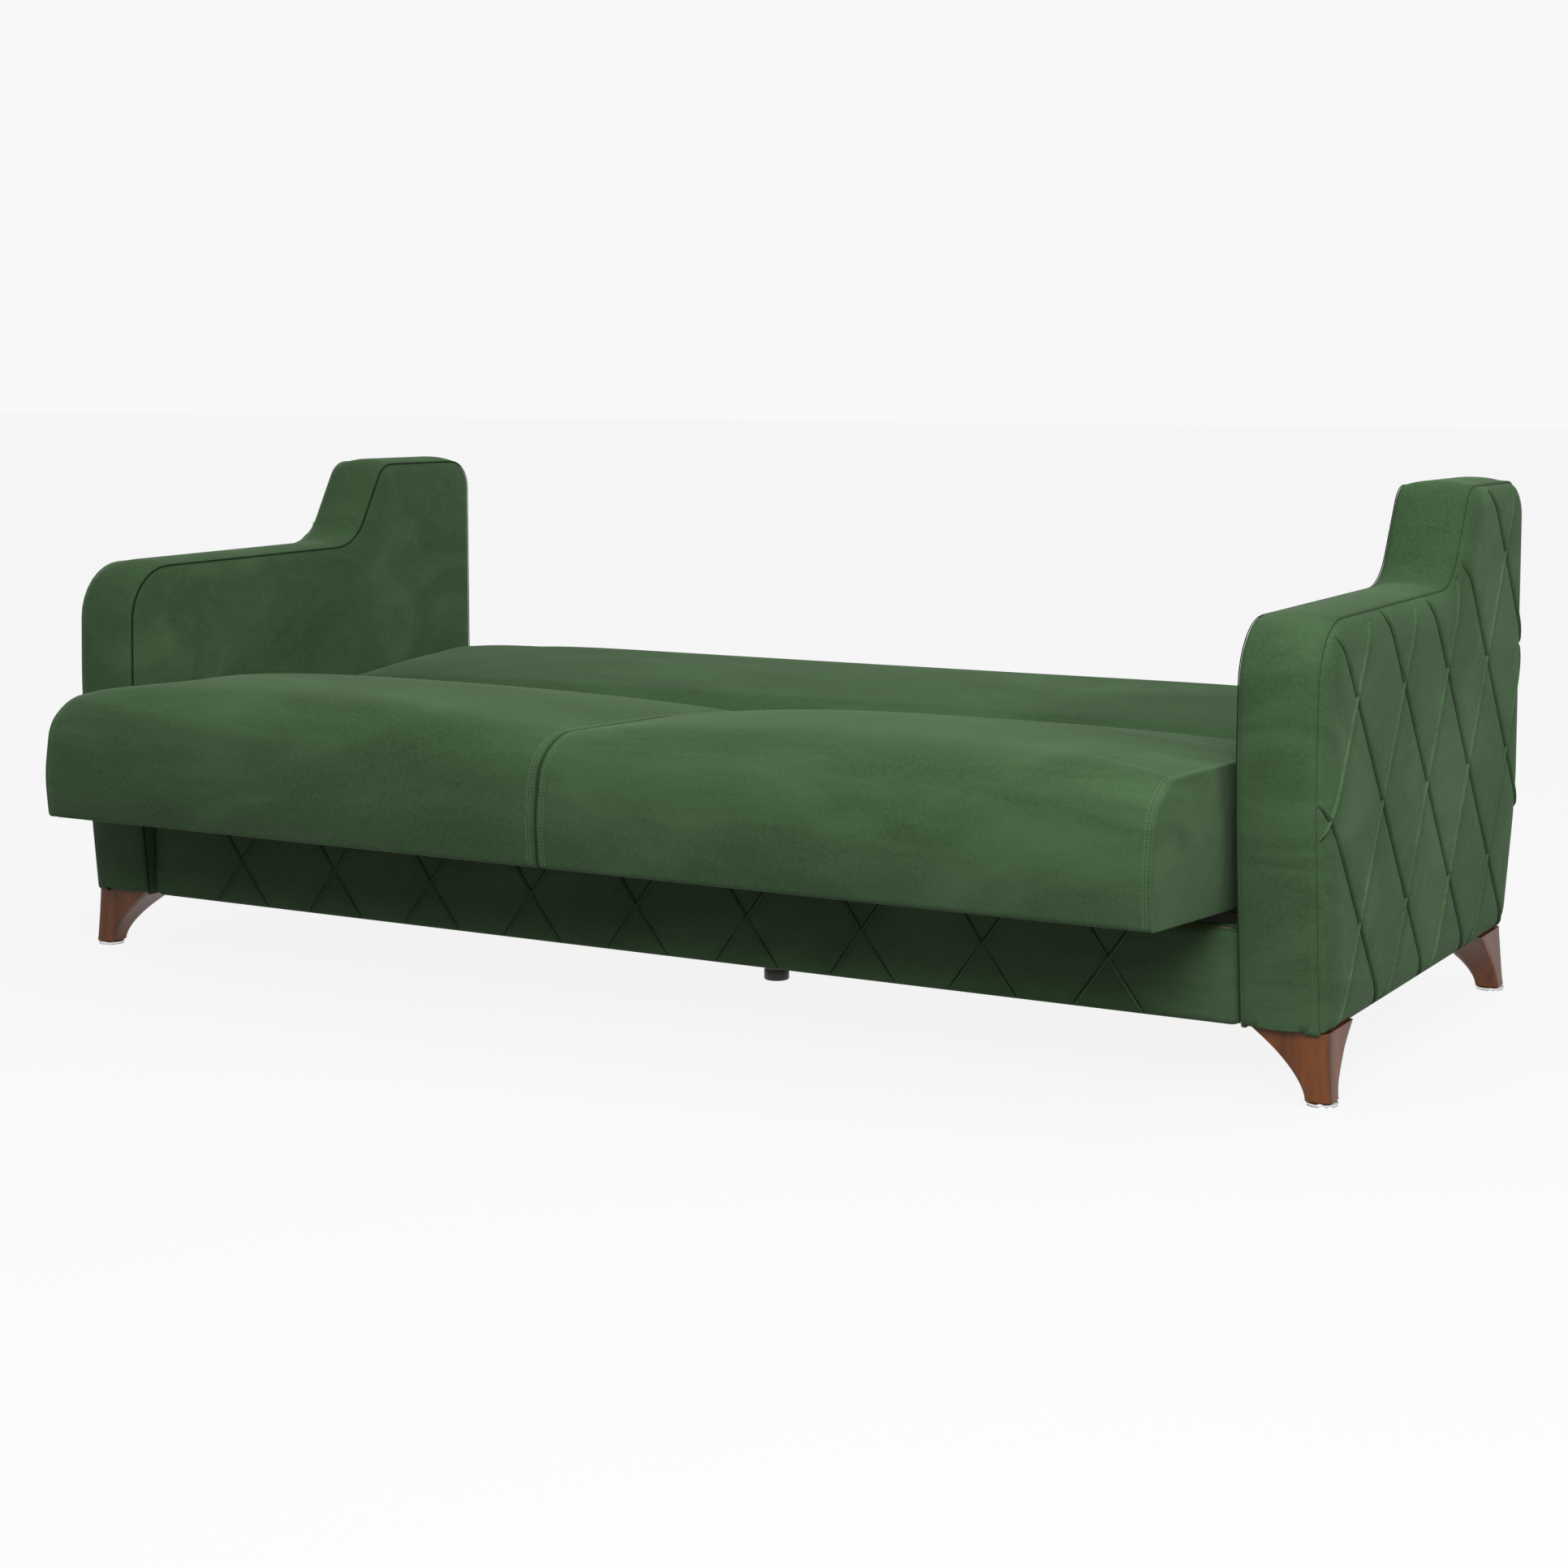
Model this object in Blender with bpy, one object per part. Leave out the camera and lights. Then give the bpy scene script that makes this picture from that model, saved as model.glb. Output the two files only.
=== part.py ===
"""Three-seat sofa bed with a storage chest, modelled flat, as a bed.

Metres, +Z up, X along the length, the front faces -Y. Every function below works in
workshop coordinates, where y is measured back from the front plane of the two arms.
add() moves the finished pieces so that the origin is the bottom centre of the whole bed.
"""
import math

import bmesh
import bpy
from mathutils import Matrix, Vector

# ---- driving dimensions -------------------------------------------------------------
GAP = 0.0003                 # air between pieces that touch
CLEAR_WIDTH = 1.900          # between the arms: the length of the bed
ARM_WIDTH = 0.131            # one arm, padded outer panel included
ARM_BOTTOM = 0.099           # underside of the arms and of the chest
ARM_DEPTH = 0.931            # front plane of the arms to the rear plane
ARM_HEIGHT = 0.642           # arm rest
WING_HEIGHT = 0.791          # raised rear end of each arm
SEAT_OVERHANG = 0.240        # seat front ahead of the arms in the bed pose
PANEL = 0.010                # thickness of an arm's inner panel and of its band
OUTER_PANEL = 0.020          # thickness of the padded outer panel

SEAT_HALF_LENGTH = 0.928     # leaves 22 mm beside the seat for the fittings
SEAT_SLOPE = math.radians(3.5)
SEAT_FRONT = (-0.228, 0.264)     # front bottom edge of the seat, y and z
SEAT_DEPTH = 0.649
BACK_SLOPE = math.radians(4.6)
BACK_FRONT = (0.455, 0.262)      # front bottom edge of the lying back, y and z
BACK_DEPTH = 0.468
CUSHION_WALL = 0.014         # cover and foam around the wooden frames
RAIL_WIDTH = 0.045
RAIL_LOW = 0.004
RAIL_HIGH = 0.040
SEAT_DECK = 0.012
BACK_DECK = 0.006

CHEST_FRONT = 0.033          # face of the quilted panel
QUILT = 0.0237
PANEL_BOTTOM = 0.0950
BOARD = 0.018
CHEST_REAR = 0.863
CHEST_SIDE = 0.9355          # outer face of the chest's side boards
CHEST_BOARD_BOTTOM = 0.103
FRONT_TOP = 0.222
SIDE_TOP = 0.185
REAR_TOP = 0.235
BEAM_TOP = 0.1247
FLOOR_BOARD = 0.004
ARM_BOLTS = {"front": 0.120, "rear": 0.790}     # spacer bolts between chest and arm
ARM_BOLT_HEIGHT = 0.135

LEG_TOP = ARM_BOTTOM - GAP
GLIDE_HEIGHT = 0.0075
GLIDE_RADIUS = 0.0215
CENTRE_LEG = (0.054, 0.360)      # x and y
CENTRE_LEG_RADIUS = 0.020

# linkage: two parallel links a side carry a carriage, and the carriage carries one
# hinge for both the seat and the back
LINK_LENGTH = 0.150
LINK_LEAN_BED = math.radians(46.6)   # links lean forward by this in the bed pose
REAR_TOP_PIVOT = (0.400, 0.272)
FRONT_TOP_PIVOT = (0.110, 0.272)
HINGE = (0.437, 0.405)               # common hinge of seat and back
STUD_RADIUS = 0.00595
STUD_HOLE = 0.00606
HINGE_PIN_RADIUS = 0.00795
HINGE_HOLE = 0.00806
LINK_EYE = 0.014
HINGE_EYE = 0.018
SEAT_ARM_X = (0.9290, 0.9325)        # layers of steel plate, from the seat outwards
BACK_ARM_X = (0.9330, 0.9365)
CARRIAGE_X = (0.9370, 0.9405)
LINK_X = (0.9410, 0.9445)
BRACKET_X = (0.9452, 0.9487)

REAR_LIMIT = ARM_DEPTH
ARM_FRONT_Y = -(REAR_LIMIT - SEAT_OVERHANG) / 2
ARC_STEPS = 5
ROUND_SIDES = 32
INNER_X = CLEAR_WIDTH / 2
OUTER_X = INNER_X + ARM_WIDTH
SIDES = (("left", -1), ("right", 1))


# ---- materials ----------------------------------------------------------------------
def finish(name, color, roughness, metallic=0.0):
    material = bpy.data.materials.new(name)
    material.use_nodes = True
    shader = material.node_tree.nodes["Principled BSDF"]
    shader.inputs["Base Color"].default_value = (*color, 1.0)
    shader.inputs["Roughness"].default_value = roughness
    shader.inputs["Metallic"].default_value = metallic
    material.diffuse_color = (*color, 1.0)
    return material


# ---- making objects -----------------------------------------------------------------
def clear_scene():
    for old in list(bpy.data.objects):
        bpy.data.objects.remove(old, do_unlink=True)


def empty(name, pivot):
    """An axis along X, at y and z in workshop coordinates."""
    guide = bpy.data.objects.new(name, None)
    guide.location = (0.0, pivot[0] + ARM_FRONT_Y, pivot[1])
    bpy.context.collection.objects.link(guide)
    return guide


def add(name, bm, material, axis=None):
    """Turns a bmesh in workshop coordinates into a named object, under its joint's axis."""
    bmesh.ops.recalc_face_normals(bm, faces=bm.faces)
    shift = Vector((0.0, ARM_FRONT_Y, 0.0))
    if axis is not None:
        shift -= axis.location
    bmesh.ops.translate(bm, verts=bm.verts, vec=shift)
    mesh = bpy.data.meshes.new(name)
    bm.to_mesh(mesh)
    bm.free()
    mesh.materials.append(material)
    piece = bpy.data.objects.new(name, mesh)
    piece.parent = axis
    bpy.context.collection.objects.link(piece)
    return piece


def smooth(piece):
    piece.data.shade_smooth()
    piece.data.set_sharp_from_angle(angle=math.radians(35))


# ---- outlines -----------------------------------------------------------------------
def fillet(before, corner, after, radius, steps=ARC_STEPS):
    """The points of an arc that rounds one corner."""
    corner = Vector(corner)
    back = (Vector(before) - corner).normalized()
    ahead = (Vector(after) - corner).normalized()
    half = back.angle(ahead) / 2
    reach = radius / math.tan(half)
    centre = corner + (back + ahead).normalized() * (radius / math.sin(half))
    start = corner + back * reach - centre
    turn = start.angle_signed(corner + ahead * reach - centre)
    points = []
    for step in range(steps + 1):
        angle = -turn * step / steps
        spun = Matrix.Rotation(angle, 2) @ start
        points.append(tuple(centre + spun))
    return points


def rounded(corners):
    """A closed outline from corners (y, z, radius)."""
    outline = []
    count = len(corners)
    for index, (y, z, radius) in enumerate(corners):
        if radius == 0:
            outline.append((y, z))
            continue
        before = corners[index - 1][:2]
        after = corners[(index + 1) % count][:2]
        outline += fillet(before, (y, z), after, radius)
    return outline


def circle(centre, radius, sides=ROUND_SIDES, start=0.0, turn=2 * math.pi):
    closed = abs(turn - 2 * math.pi) < 1e-9
    last = sides if closed else sides + 1
    points = []
    for step in range(last):
        angle = start + turn * step / sides
        points.append((centre[0] + radius * math.cos(angle), centre[1] + radius * math.sin(angle)))
    return points


def inward(path, distance):
    """The same open path, moved to its right-hand side."""
    moved = []
    for index, point in enumerate(path):
        before = Vector(path[max(index - 1, 0)])
        after = Vector(path[min(index + 1, len(path) - 1)])
        along = (after - before).normalized()
        moved.append((point[0] + along.y * distance, point[1] - along.x * distance))
    return moved


def arm_corners():
    """The arm's side view, clockwise from the front bottom, with a raised wing behind."""
    return [
        (0.024, ARM_BOTTOM, 0.018),
        (-0.006, 0.400, 1.500),
        (0.000, ARM_HEIGHT - 0.002, 0.088),
        (0.583, ARM_HEIGHT + 0.004, 0.090),
        (0.667, WING_HEIGHT, 0.045),
        (ARM_DEPTH - 0.003, WING_HEIGHT - 0.001, 0.052),
        (ARM_DEPTH - 0.002, 0.300, 0.350),
        (0.868, ARM_BOTTOM, 0.035),
    ]


# ---- solids -------------------------------------------------------------------------
def loop_edges(bm, outline, x):
    verts = [bm.verts.new((x, y, z)) for y, z in outline]
    for index, vert in enumerate(verts):
        bm.edges.new((vert, verts[(index + 1) % len(verts)]))


def plate(outline, x_low, x_high, holes=()):
    """A flat piece standing across X, with round holes given as (centre, radius)."""
    bm = bmesh.new()
    loop_edges(bm, outline, x_low)
    for centre, radius in holes:
        loop_edges(bm, circle(centre, radius), x_low)
    bmesh.ops.triangle_fill(bm, use_beauty=True, use_dissolve=False, edges=bm.edges)
    made = bmesh.ops.extrude_face_region(bm, geom=bm.faces[:])
    lifted = [item for item in made["geom"] if isinstance(item, bmesh.types.BMVert)]
    bmesh.ops.translate(bm, verts=lifted, vec=(x_high - x_low, 0, 0))
    return bm


def mirrored(bm, side):
    """Pieces are drawn for the right end (+X). side is -1 for the left end."""
    if side < 0:
        bmesh.ops.scale(bm, verts=bm.verts, vec=(-1, 1, 1))
    return bm


def block(x, y, z):
    """A rectangular block from three (low, high) pairs."""
    bm = bmesh.new()
    bmesh.ops.create_cube(bm, size=1.0)
    bmesh.ops.scale(bm, verts=bm.verts, vec=(x[1] - x[0], y[1] - y[0], z[1] - z[0]))
    middle = ((x[0] + x[1]) / 2, (y[0] + y[1]) / 2, (z[0] + z[1]) / 2)
    bmesh.ops.translate(bm, verts=bm.verts, vec=middle)
    return bm


def sloped(bm, front, slope):
    """Places a piece drawn in a cushion's own frame, where y runs along its underside."""
    turn = Matrix.Translation((0, front[0], front[1])) @ Matrix.Rotation(slope, 4, "X")
    bmesh.ops.transform(bm, matrix=turn, verts=bm.verts)
    return bm


def across(centre, radius, x_low, x_high, sides=ROUND_SIDES):
    """A round bar along X."""
    bm = bmesh.new()
    loop_edges(bm, circle(centre, radius, sides), x_low)
    face = bm.faces.new(bm.verts[:])
    made = bmesh.ops.extrude_face_region(bm, geom=[face])
    lifted = [item for item in made["geom"] if isinstance(item, bmesh.types.BMVert)]
    bmesh.ops.translate(bm, verts=lifted, vec=(x_high - x_low, 0, 0))
    return bm


def turned(profile, centre, sides=ROUND_SIDES):
    """A turned piece about a vertical axis, from (radius, z) points, bottom to top."""
    bm = bmesh.new()
    rings = []
    for radius, z in profile:
        ring = []
        for step in range(sides):
            angle = 2 * math.pi * step / sides
            point = (centre[0] + radius * math.cos(angle), centre[1] + radius * math.sin(angle), z)
            ring.append(bm.verts.new(point))
        rings.append(ring)
    bm.faces.new(rings[0])
    bm.faces.new(rings[-1])
    for low, high in zip(rings, rings[1:]):
        for step in range(sides):
            after = (step + 1) % sides
            bm.faces.new((low[step], low[after], high[after], high[step]))
    return bm


def join_solid(piece, bm, name):
    """Welds a second solid onto a piece, by a union with a hidden guide."""
    tool = add(name, bm, piece.data.materials[0])
    tool.parent = piece.parent
    if piece.parent is not None:
        tool.data.transform(Matrix.Translation(-piece.parent.location))
    tool.hide_render = True
    tool.display_type = "WIRE"
    union = piece.modifiers.new(name, "BOOLEAN")
    union.operation = "UNION"
    union.solver = "EXACT"
    union.object = tool


def cut_away(piece, bm, name):
    """Cuts a hollow into a piece with a hidden guide."""
    tool = add(name, bm, piece.data.materials[0])
    tool.parent = piece.parent
    if piece.parent is not None:
        tool.data.transform(Matrix.Translation(-piece.parent.location))
    tool.hide_render = True
    tool.display_type = "WIRE"
    cut = piece.modifiers.new(name, "BOOLEAN")
    cut.operation = "DIFFERENCE"
    cut.solver = "EXACT"
    cut.object = tool


# ---- arms ---------------------------------------------------------------------------
def build_arm(label, side, velvet, pine, steel):
    outline = rounded(arm_corners())
    inner_face = (INNER_X, INNER_X + PANEL)
    core_span = (inner_face[1] + GAP, OUTER_X - OUTER_PANEL - GAP)
    outer_face = (OUTER_X - OUTER_PANEL, OUTER_X)

    inner = plate(outline, *inner_face)
    add(f"arm_inner_panel_{label}", mirrored(inner, side), velvet)

    outer = plate(outline, outer_face[0], outer_face[1] - 0.008)
    far = [f for f in outer.faces if all(v.co.x > outer_face[1] - 0.009 for v in f.verts)]
    bmesh.ops.inset_region(outer, faces=far, thickness=0.010, depth=0.008, use_even_offset=True)
    add(f"arm_outer_panel_{label}", mirrored(outer, side), velvet)

    # the band runs up the front, over the arm rest and the wing, and down the rear
    lowest = outline[0]
    path = [(lowest[0], ARM_BOTTOM)] + [p for p in outline if p[1] > ARM_BOTTOM + 1e-4]
    path.append((outline[-1][0], ARM_BOTTOM))
    inside = inward(path, PANEL)
    inside[0] = (inside[0][0] + PANEL / 2, ARM_BOTTOM)
    inside[-1] = (inside[-1][0] - PANEL / 2, ARM_BOTTOM)
    band = plate(path + inside[::-1], *core_span)
    add(f"arm_band_{label}", mirrored(band, side), velvet)

    core_path = inward(path, PANEL + 2 * GAP)
    core_path[0] = (inside[0][0] + 2 * GAP, ARM_BOTTOM)
    core_path[-1] = (inside[-1][0] - 2 * GAP, ARM_BOTTOM)
    core = plate(core_path, *core_span)
    add(f"arm_core_{label}", mirrored(core, side), pine)

    for place, y in ARM_BOLTS.items():
        bolt = across((y, ARM_BOLT_HEIGHT), 0.010, CHEST_SIDE + GAP, INNER_X - GAP, 12)
        add(f"arm_bolt_{place}_{label}", mirrored(bolt, side), steel)


# ---- chest --------------------------------------------------------------------------
def build_chest(velvet, pine, hardboard, plastic):
    span = (-INNER_X + 2 * GAP, INNER_X - 2 * GAP)
    board_y = (CHEST_FRONT + QUILT + GAP, CHEST_FRONT + QUILT + GAP + BOARD)
    side_y = (board_y[1] + GAP, CHEST_REAR - BOARD - GAP)
    side_x = (CHEST_SIDE - BOARD, CHEST_SIDE)

    panel = block(span, (CHEST_FRONT, CHEST_FRONT + QUILT), (PANEL_BOTTOM, FRONT_TOP))
    add("chest_front_panel", panel, velvet)
    short = (span[0] + 0.022, span[1] - 0.022)
    add("chest_front_board", block(short, board_y, (CHEST_BOARD_BOTTOM, FRONT_TOP)), pine)
    rear_y = (CHEST_REAR - BOARD, CHEST_REAR)
    add("chest_rear_board", block(short, rear_y, (CHEST_BOARD_BOTTOM, REAR_TOP)), pine)
    for label, side in SIDES:
        board = block(side_x, side_y, (CHEST_BOARD_BOTTOM, SIDE_TOP))
        add(f"chest_side_board_{label}", mirrored(board, side), pine)

    inside = (-side_x[0] + GAP, side_x[0] - GAP)
    floor_z = (BEAM_TOP + GAP, BEAM_TOP + GAP + FLOOR_BOARD)
    add("chest_floor_board", block(inside, side_y, floor_z), hardboard)
    beam_x = (CENTRE_LEG[0] - 0.035, CENTRE_LEG[0] + 0.035)
    add("chest_cross_beam", block(beam_x, side_y, (CHEST_BOARD_BOTTOM, BEAM_TOP)), pine)

    r = CENTRE_LEG_RADIUS
    top = CHEST_BOARD_BOTTOM - GAP
    profile = [(r - 0.002, 0.0), (r, 0.002), (r, top - 0.006), (r + 0.012, top - 0.004), (r + 0.012, top)]
    smooth(add("centre_leg", turned(profile, CENTRE_LEG, 24), plastic))


# ---- legs ---------------------------------------------------------------------------
def leg_section(x_in, x_out, y_in, y_out, radius, inner_radius):
    """One level of a leg: a rectangle whose inner corner is rounded more as it flares."""
    corners = [
        (x_in, y_in, inner_radius),
        (x_in, y_out, 0.005),
        (x_out, y_out, radius),
        (x_out, y_in, 0.005),
    ]
    return rounded(corners)


def build_leg(name, side, glide_y, outward, wood, chrome):
    """A flared leg. outward is -1 at the front and 1 at the rear."""
    bm = bmesh.new()
    levels = 9
    rings = []
    for level in range(levels + 1):
        t = level / levels
        z = GLIDE_HEIGHT + GAP + t * (LEG_TOP - GLIDE_HEIGHT - GAP)
        flare = t ** 1.65
        x_in = 1.041 - 0.079 * flare
        x_out = 1.078 - 0.007 * t ** 0.7
        y_in = -0.019 - 0.075 * flare
        y_out = 0.020 - 0.003 * t
        section = leg_section(x_in, x_out, y_in, y_out, 0.009, 0.006 + 0.026 * flare)
        ring = [bm.verts.new((x, glide_y + outward * y, z)) for x, y in section]
        rings.append(ring)
    bm.faces.new(rings[0])
    bm.faces.new(rings[-1])
    for low, high in zip(rings, rings[1:]):
        bmesh.ops.bridge_loops(bm, edges=ring_edges(bm, low) + ring_edges(bm, high))
    smooth(add(f"leg_{name}", mirrored(bm, side), wood))

    r = GLIDE_RADIUS
    profile = [(r - 0.003, 0.0), (r, 0.0015), (r, 0.004), (r - 0.003, GLIDE_HEIGHT)]
    glide = turned(profile, (side * 1.060, glide_y), 24)
    smooth(add(f"glide_{name}", glide, chrome))


def ring_edges(bm, ring):
    edges = []
    for index, vert in enumerate(ring):
        after = ring[(index + 1) % len(ring)]
        edge = bm.edges.get((vert, after))
        edges.append(edge if edge is not None else bm.edges.new((vert, after)))
    return edges


# ---- seat and back ------------------------------------------------------------------
def seat_outline():
    return rounded([
        (0.000, 0.000, 0.006),
        (-0.014, 0.088, 0.280),
        (0.004, 0.198, 0.058),
        (0.330, 0.233, 0.900),
        (0.566, 0.216, 0.060),
        (SEAT_DEPTH, 0.170, 0.010),
        (SEAT_DEPTH, 0.000, 0.006),
    ])


def back_outline():
    return rounded([
        (0.000, 0.000, 0.006),
        (0.000, 0.130, 0.010),
        (0.084, 0.165, 0.060),
        (0.250, 0.173, 0.900),
        (BACK_DEPTH, 0.163, 0.045),
        (BACK_DEPTH - 0.006, 0.000, 0.012),
    ])


def build_frame(prefix, depth, deck, front, slope, axis, pine, ply):
    """Four rails and a deck, hidden in the underside of a cushion."""
    length = SEAT_HALF_LENGTH - CUSHION_WALL - GAP
    low = CUSHION_WALL + GAP
    high = depth - CUSHION_WALL - GAP
    rails = (RAIL_LOW, RAIL_HIGH)
    ends = (-length, length)
    front_rail = sloped(block(ends, (low, low + RAIL_WIDTH), rails), front, slope)
    add(f"{prefix}_front_rail", front_rail, pine, axis)
    rear_rail = sloped(block(ends, (high - RAIL_WIDTH, high), rails), front, slope)
    add(f"{prefix}_rear_rail", rear_rail, pine, axis)
    between = (low + RAIL_WIDTH + GAP, high - RAIL_WIDTH - GAP)
    for label, side in SIDES:
        rail = mirrored(block((length - RAIL_WIDTH, length), between, rails), side)
        add(f"{prefix}_side_rail_{label}", sloped(rail, front, slope), pine, axis)
    level = (RAIL_HIGH + GAP, RAIL_HIGH + GAP + deck)
    add(f"{prefix}_deck", sloped(block(ends, (low, high), level), front, slope), ply, axis)


def build_cushion(name, outline, x, recess_x, depth, deck, front, slope, axis, velvet):
    """A cushion solid with a hollow underside that takes the frame."""
    body = sloped(plate(outline, *x), front, slope)
    cushion = add(name, body, velvet, axis)
    top = RAIL_HIGH + deck + 3 * GAP
    hollow = block(recess_x, (CUSHION_WALL, depth - CUSHION_WALL), (-0.02, top))
    cut_away(cushion, sloped(hollow, front, slope), f"{name}_hollow")


def build_seat(axis, velvet, pine, ply):
    build_frame("seat", SEAT_DEPTH, SEAT_DECK, SEAT_FRONT, -SEAT_SLOPE, axis, pine, ply)
    half = 0.002
    wall = SEAT_HALF_LENGTH - CUSHION_WALL
    spans = {
        "left": ((-SEAT_HALF_LENGTH, -half), (-wall, 0.01)),
        "right": ((half, SEAT_HALF_LENGTH), (-0.01, wall)),
    }
    for label, (x, recess_x) in spans.items():
        build_cushion(f"seat_cushion_{label}", seat_outline(), x, recess_x, SEAT_DEPTH,
                      SEAT_DECK, SEAT_FRONT, -SEAT_SLOPE, axis, velvet)


def build_back(axis, velvet, pine, ply, cloth):
    build_frame("back", BACK_DEPTH - 0.006, BACK_DECK, BACK_FRONT, BACK_SLOPE, axis, pine, ply)
    wall = SEAT_HALF_LENGTH - CUSHION_WALL
    build_cushion("back_cushion", back_outline(), (-SEAT_HALF_LENGTH, SEAT_HALF_LENGTH),
                  (-wall, wall), BACK_DEPTH - 0.006, BACK_DECK, BACK_FRONT, BACK_SLOPE, axis, velvet)
    length = wall - GAP
    span = (CUSHION_WALL + GAP, BACK_DEPTH - 0.006 - CUSHION_WALL - GAP)
    cover = block((-length, length), span, (0.0, RAIL_LOW - GAP))
    add("back_dust_cover", sloped(cover, BACK_FRONT, BACK_SLOPE), cloth, axis)


# ---- fold-out linkage ---------------------------------------------------------------
def link_foot(top):
    """Where a link is pivoted on the base bracket, from its top pivot."""
    lean = LINK_LEAN_BED
    return (top[0] + LINK_LENGTH * math.sin(lean), top[1] - LINK_LENGTH * math.cos(lean))


def link_outline(foot, top):
    along = math.atan2(top[1] - foot[1], top[0] - foot[0])
    quarter = math.pi / 2
    end = circle(top, LINK_EYE, 12, along - quarter, math.pi)
    return end + circle(foot, LINK_EYE, 12, along + quarter, math.pi)


def carriage_outline():
    low = REAR_TOP_PIVOT[1] - LINK_EYE
    high = REAR_TOP_PIVOT[1] + LINK_EYE
    nose = FRONT_TOP_PIVOT[0] - 0.018
    y, z = HINGE
    return rounded([
        (nose, low - 0.024, 0.004),
        (nose, high, 0.012),
        (0.386, high + 0.004, 0.020),
        (y - HINGE_EYE, z + HINGE_EYE, 0.016),
        (y + HINGE_EYE, z + HINGE_EYE, 0.016),
        (y + HINGE_EYE, z - 0.040, 0.030),
        (0.424, low, 0.016),
        (nose + 0.060, low, 0.008),
        (nose + 0.050, low - 0.024, 0.004),
    ])


def seat_arm_outline():
    y, z = HINGE
    return rounded([
        (0.180, 0.250, 0.008),
        (0.180, 0.288, 0.008),
        (y - 0.060, z - 0.030, 0.040),
        (y - HINGE_EYE, z + HINGE_EYE, 0.016),
        (y + HINGE_EYE - 0.002, z + HINGE_EYE, 0.016),
        (y + HINGE_EYE - 0.002, z - 0.060, 0.030),
        (0.400, 0.238, 0.020),
    ])


def back_arm_outline():
    y, z = HINGE
    return rounded([
        (0.462, 0.272, 0.020),
        (y - HINGE_EYE, z - 0.030, 0.016),
        (y - HINGE_EYE, z + HINGE_EYE, 0.016),
        (y + HINGE_EYE, z + HINGE_EYE, 0.016),
        (y + 0.070, z - 0.030, 0.040),
        (0.690, 0.330, 0.008),
        (0.690, 0.288, 0.008),
    ])


def build_linkage(label, side, axes, steel, rubber):
    feet = {"rear": link_foot(REAR_TOP_PIVOT), "front": link_foot(FRONT_TOP_PIVOT)}
    tops = {"rear": REAR_TOP_PIVOT, "front": FRONT_TOP_PIVOT}

    low, high = feet["front"][0] - 0.024, feet["rear"][0] + 0.024
    strip = rounded([(low, 0.150, 0.006), (low, 0.190, 0.006), (high, 0.190, 0.006), (high, 0.150, 0.006)])
    bracket = add(f"base_bracket_{label}", mirrored(plate(strip, *BRACKET_X), side), steel)
    for place, foot in feet.items():
        stud = across(foot, STUD_RADIUS, LINK_X[0] - 0.0003, BRACKET_X[0] + 0.001)
        join_solid(bracket, mirrored(stud, side), f"base_stud_{place}_{label}")

    for place, foot in feet.items():
        holes = ((foot, STUD_HOLE), (tops[place], STUD_HOLE))
        link = plate(link_outline(foot, tops[place]), *LINK_X, holes)
        add(f"swing_link_{place}_{label}", mirrored(link, side), steel, axes[place])

    holes = ((HINGE, HINGE_HOLE),)
    plate_bm = plate(carriage_outline(), *CARRIAGE_X, holes)
    carriage = add(f"carriage_plate_{label}", mirrored(plate_bm, side), steel, axes["carriage"])
    for place, top in tops.items():
        stud = across(top, STUD_RADIUS, CARRIAGE_X[1] - 0.001, LINK_X[1] + 0.0003)
        join_solid(carriage, mirrored(stud, side), f"carriage_stud_{place}_{label}")

    pin = across(HINGE, HINGE_PIN_RADIUS, SEAT_ARM_X[0] - 0.0003, CARRIAGE_X[1] + 0.0006)
    hinge_pin = add(f"hinge_pin_{label}", mirrored(pin, side), steel, axes["hinge"])
    head = across(HINGE, 0.013, CARRIAGE_X[1] + GAP, CARRIAGE_X[1] + 0.0034)
    join_solid(hinge_pin, mirrored(head, side), f"hinge_pin_head_{label}")

    y = FRONT_TOP_PIVOT[0]
    pad_top = SEAT_FRONT[1] - (y + 0.022 - SEAT_FRONT[0]) * math.tan(SEAT_SLOPE) - 2 * GAP
    pad = block((0.896, CARRIAGE_X[0] - GAP), (y - 0.016, y + 0.022), (pad_top - 0.007, pad_top))
    add(f"seat_rest_{label}", mirrored(pad, side), rubber, axes["carriage"])

    seat_arm = plate(seat_arm_outline(), *SEAT_ARM_X, holes)
    add(f"seat_arm_{label}", mirrored(seat_arm, side), steel, axes["hinge"])
    back_arm = plate(back_arm_outline(), *BACK_ARM_X, holes)
    add(f"back_arm_{label}", mirrored(back_arm, side), steel, axes["hinge"])


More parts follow.
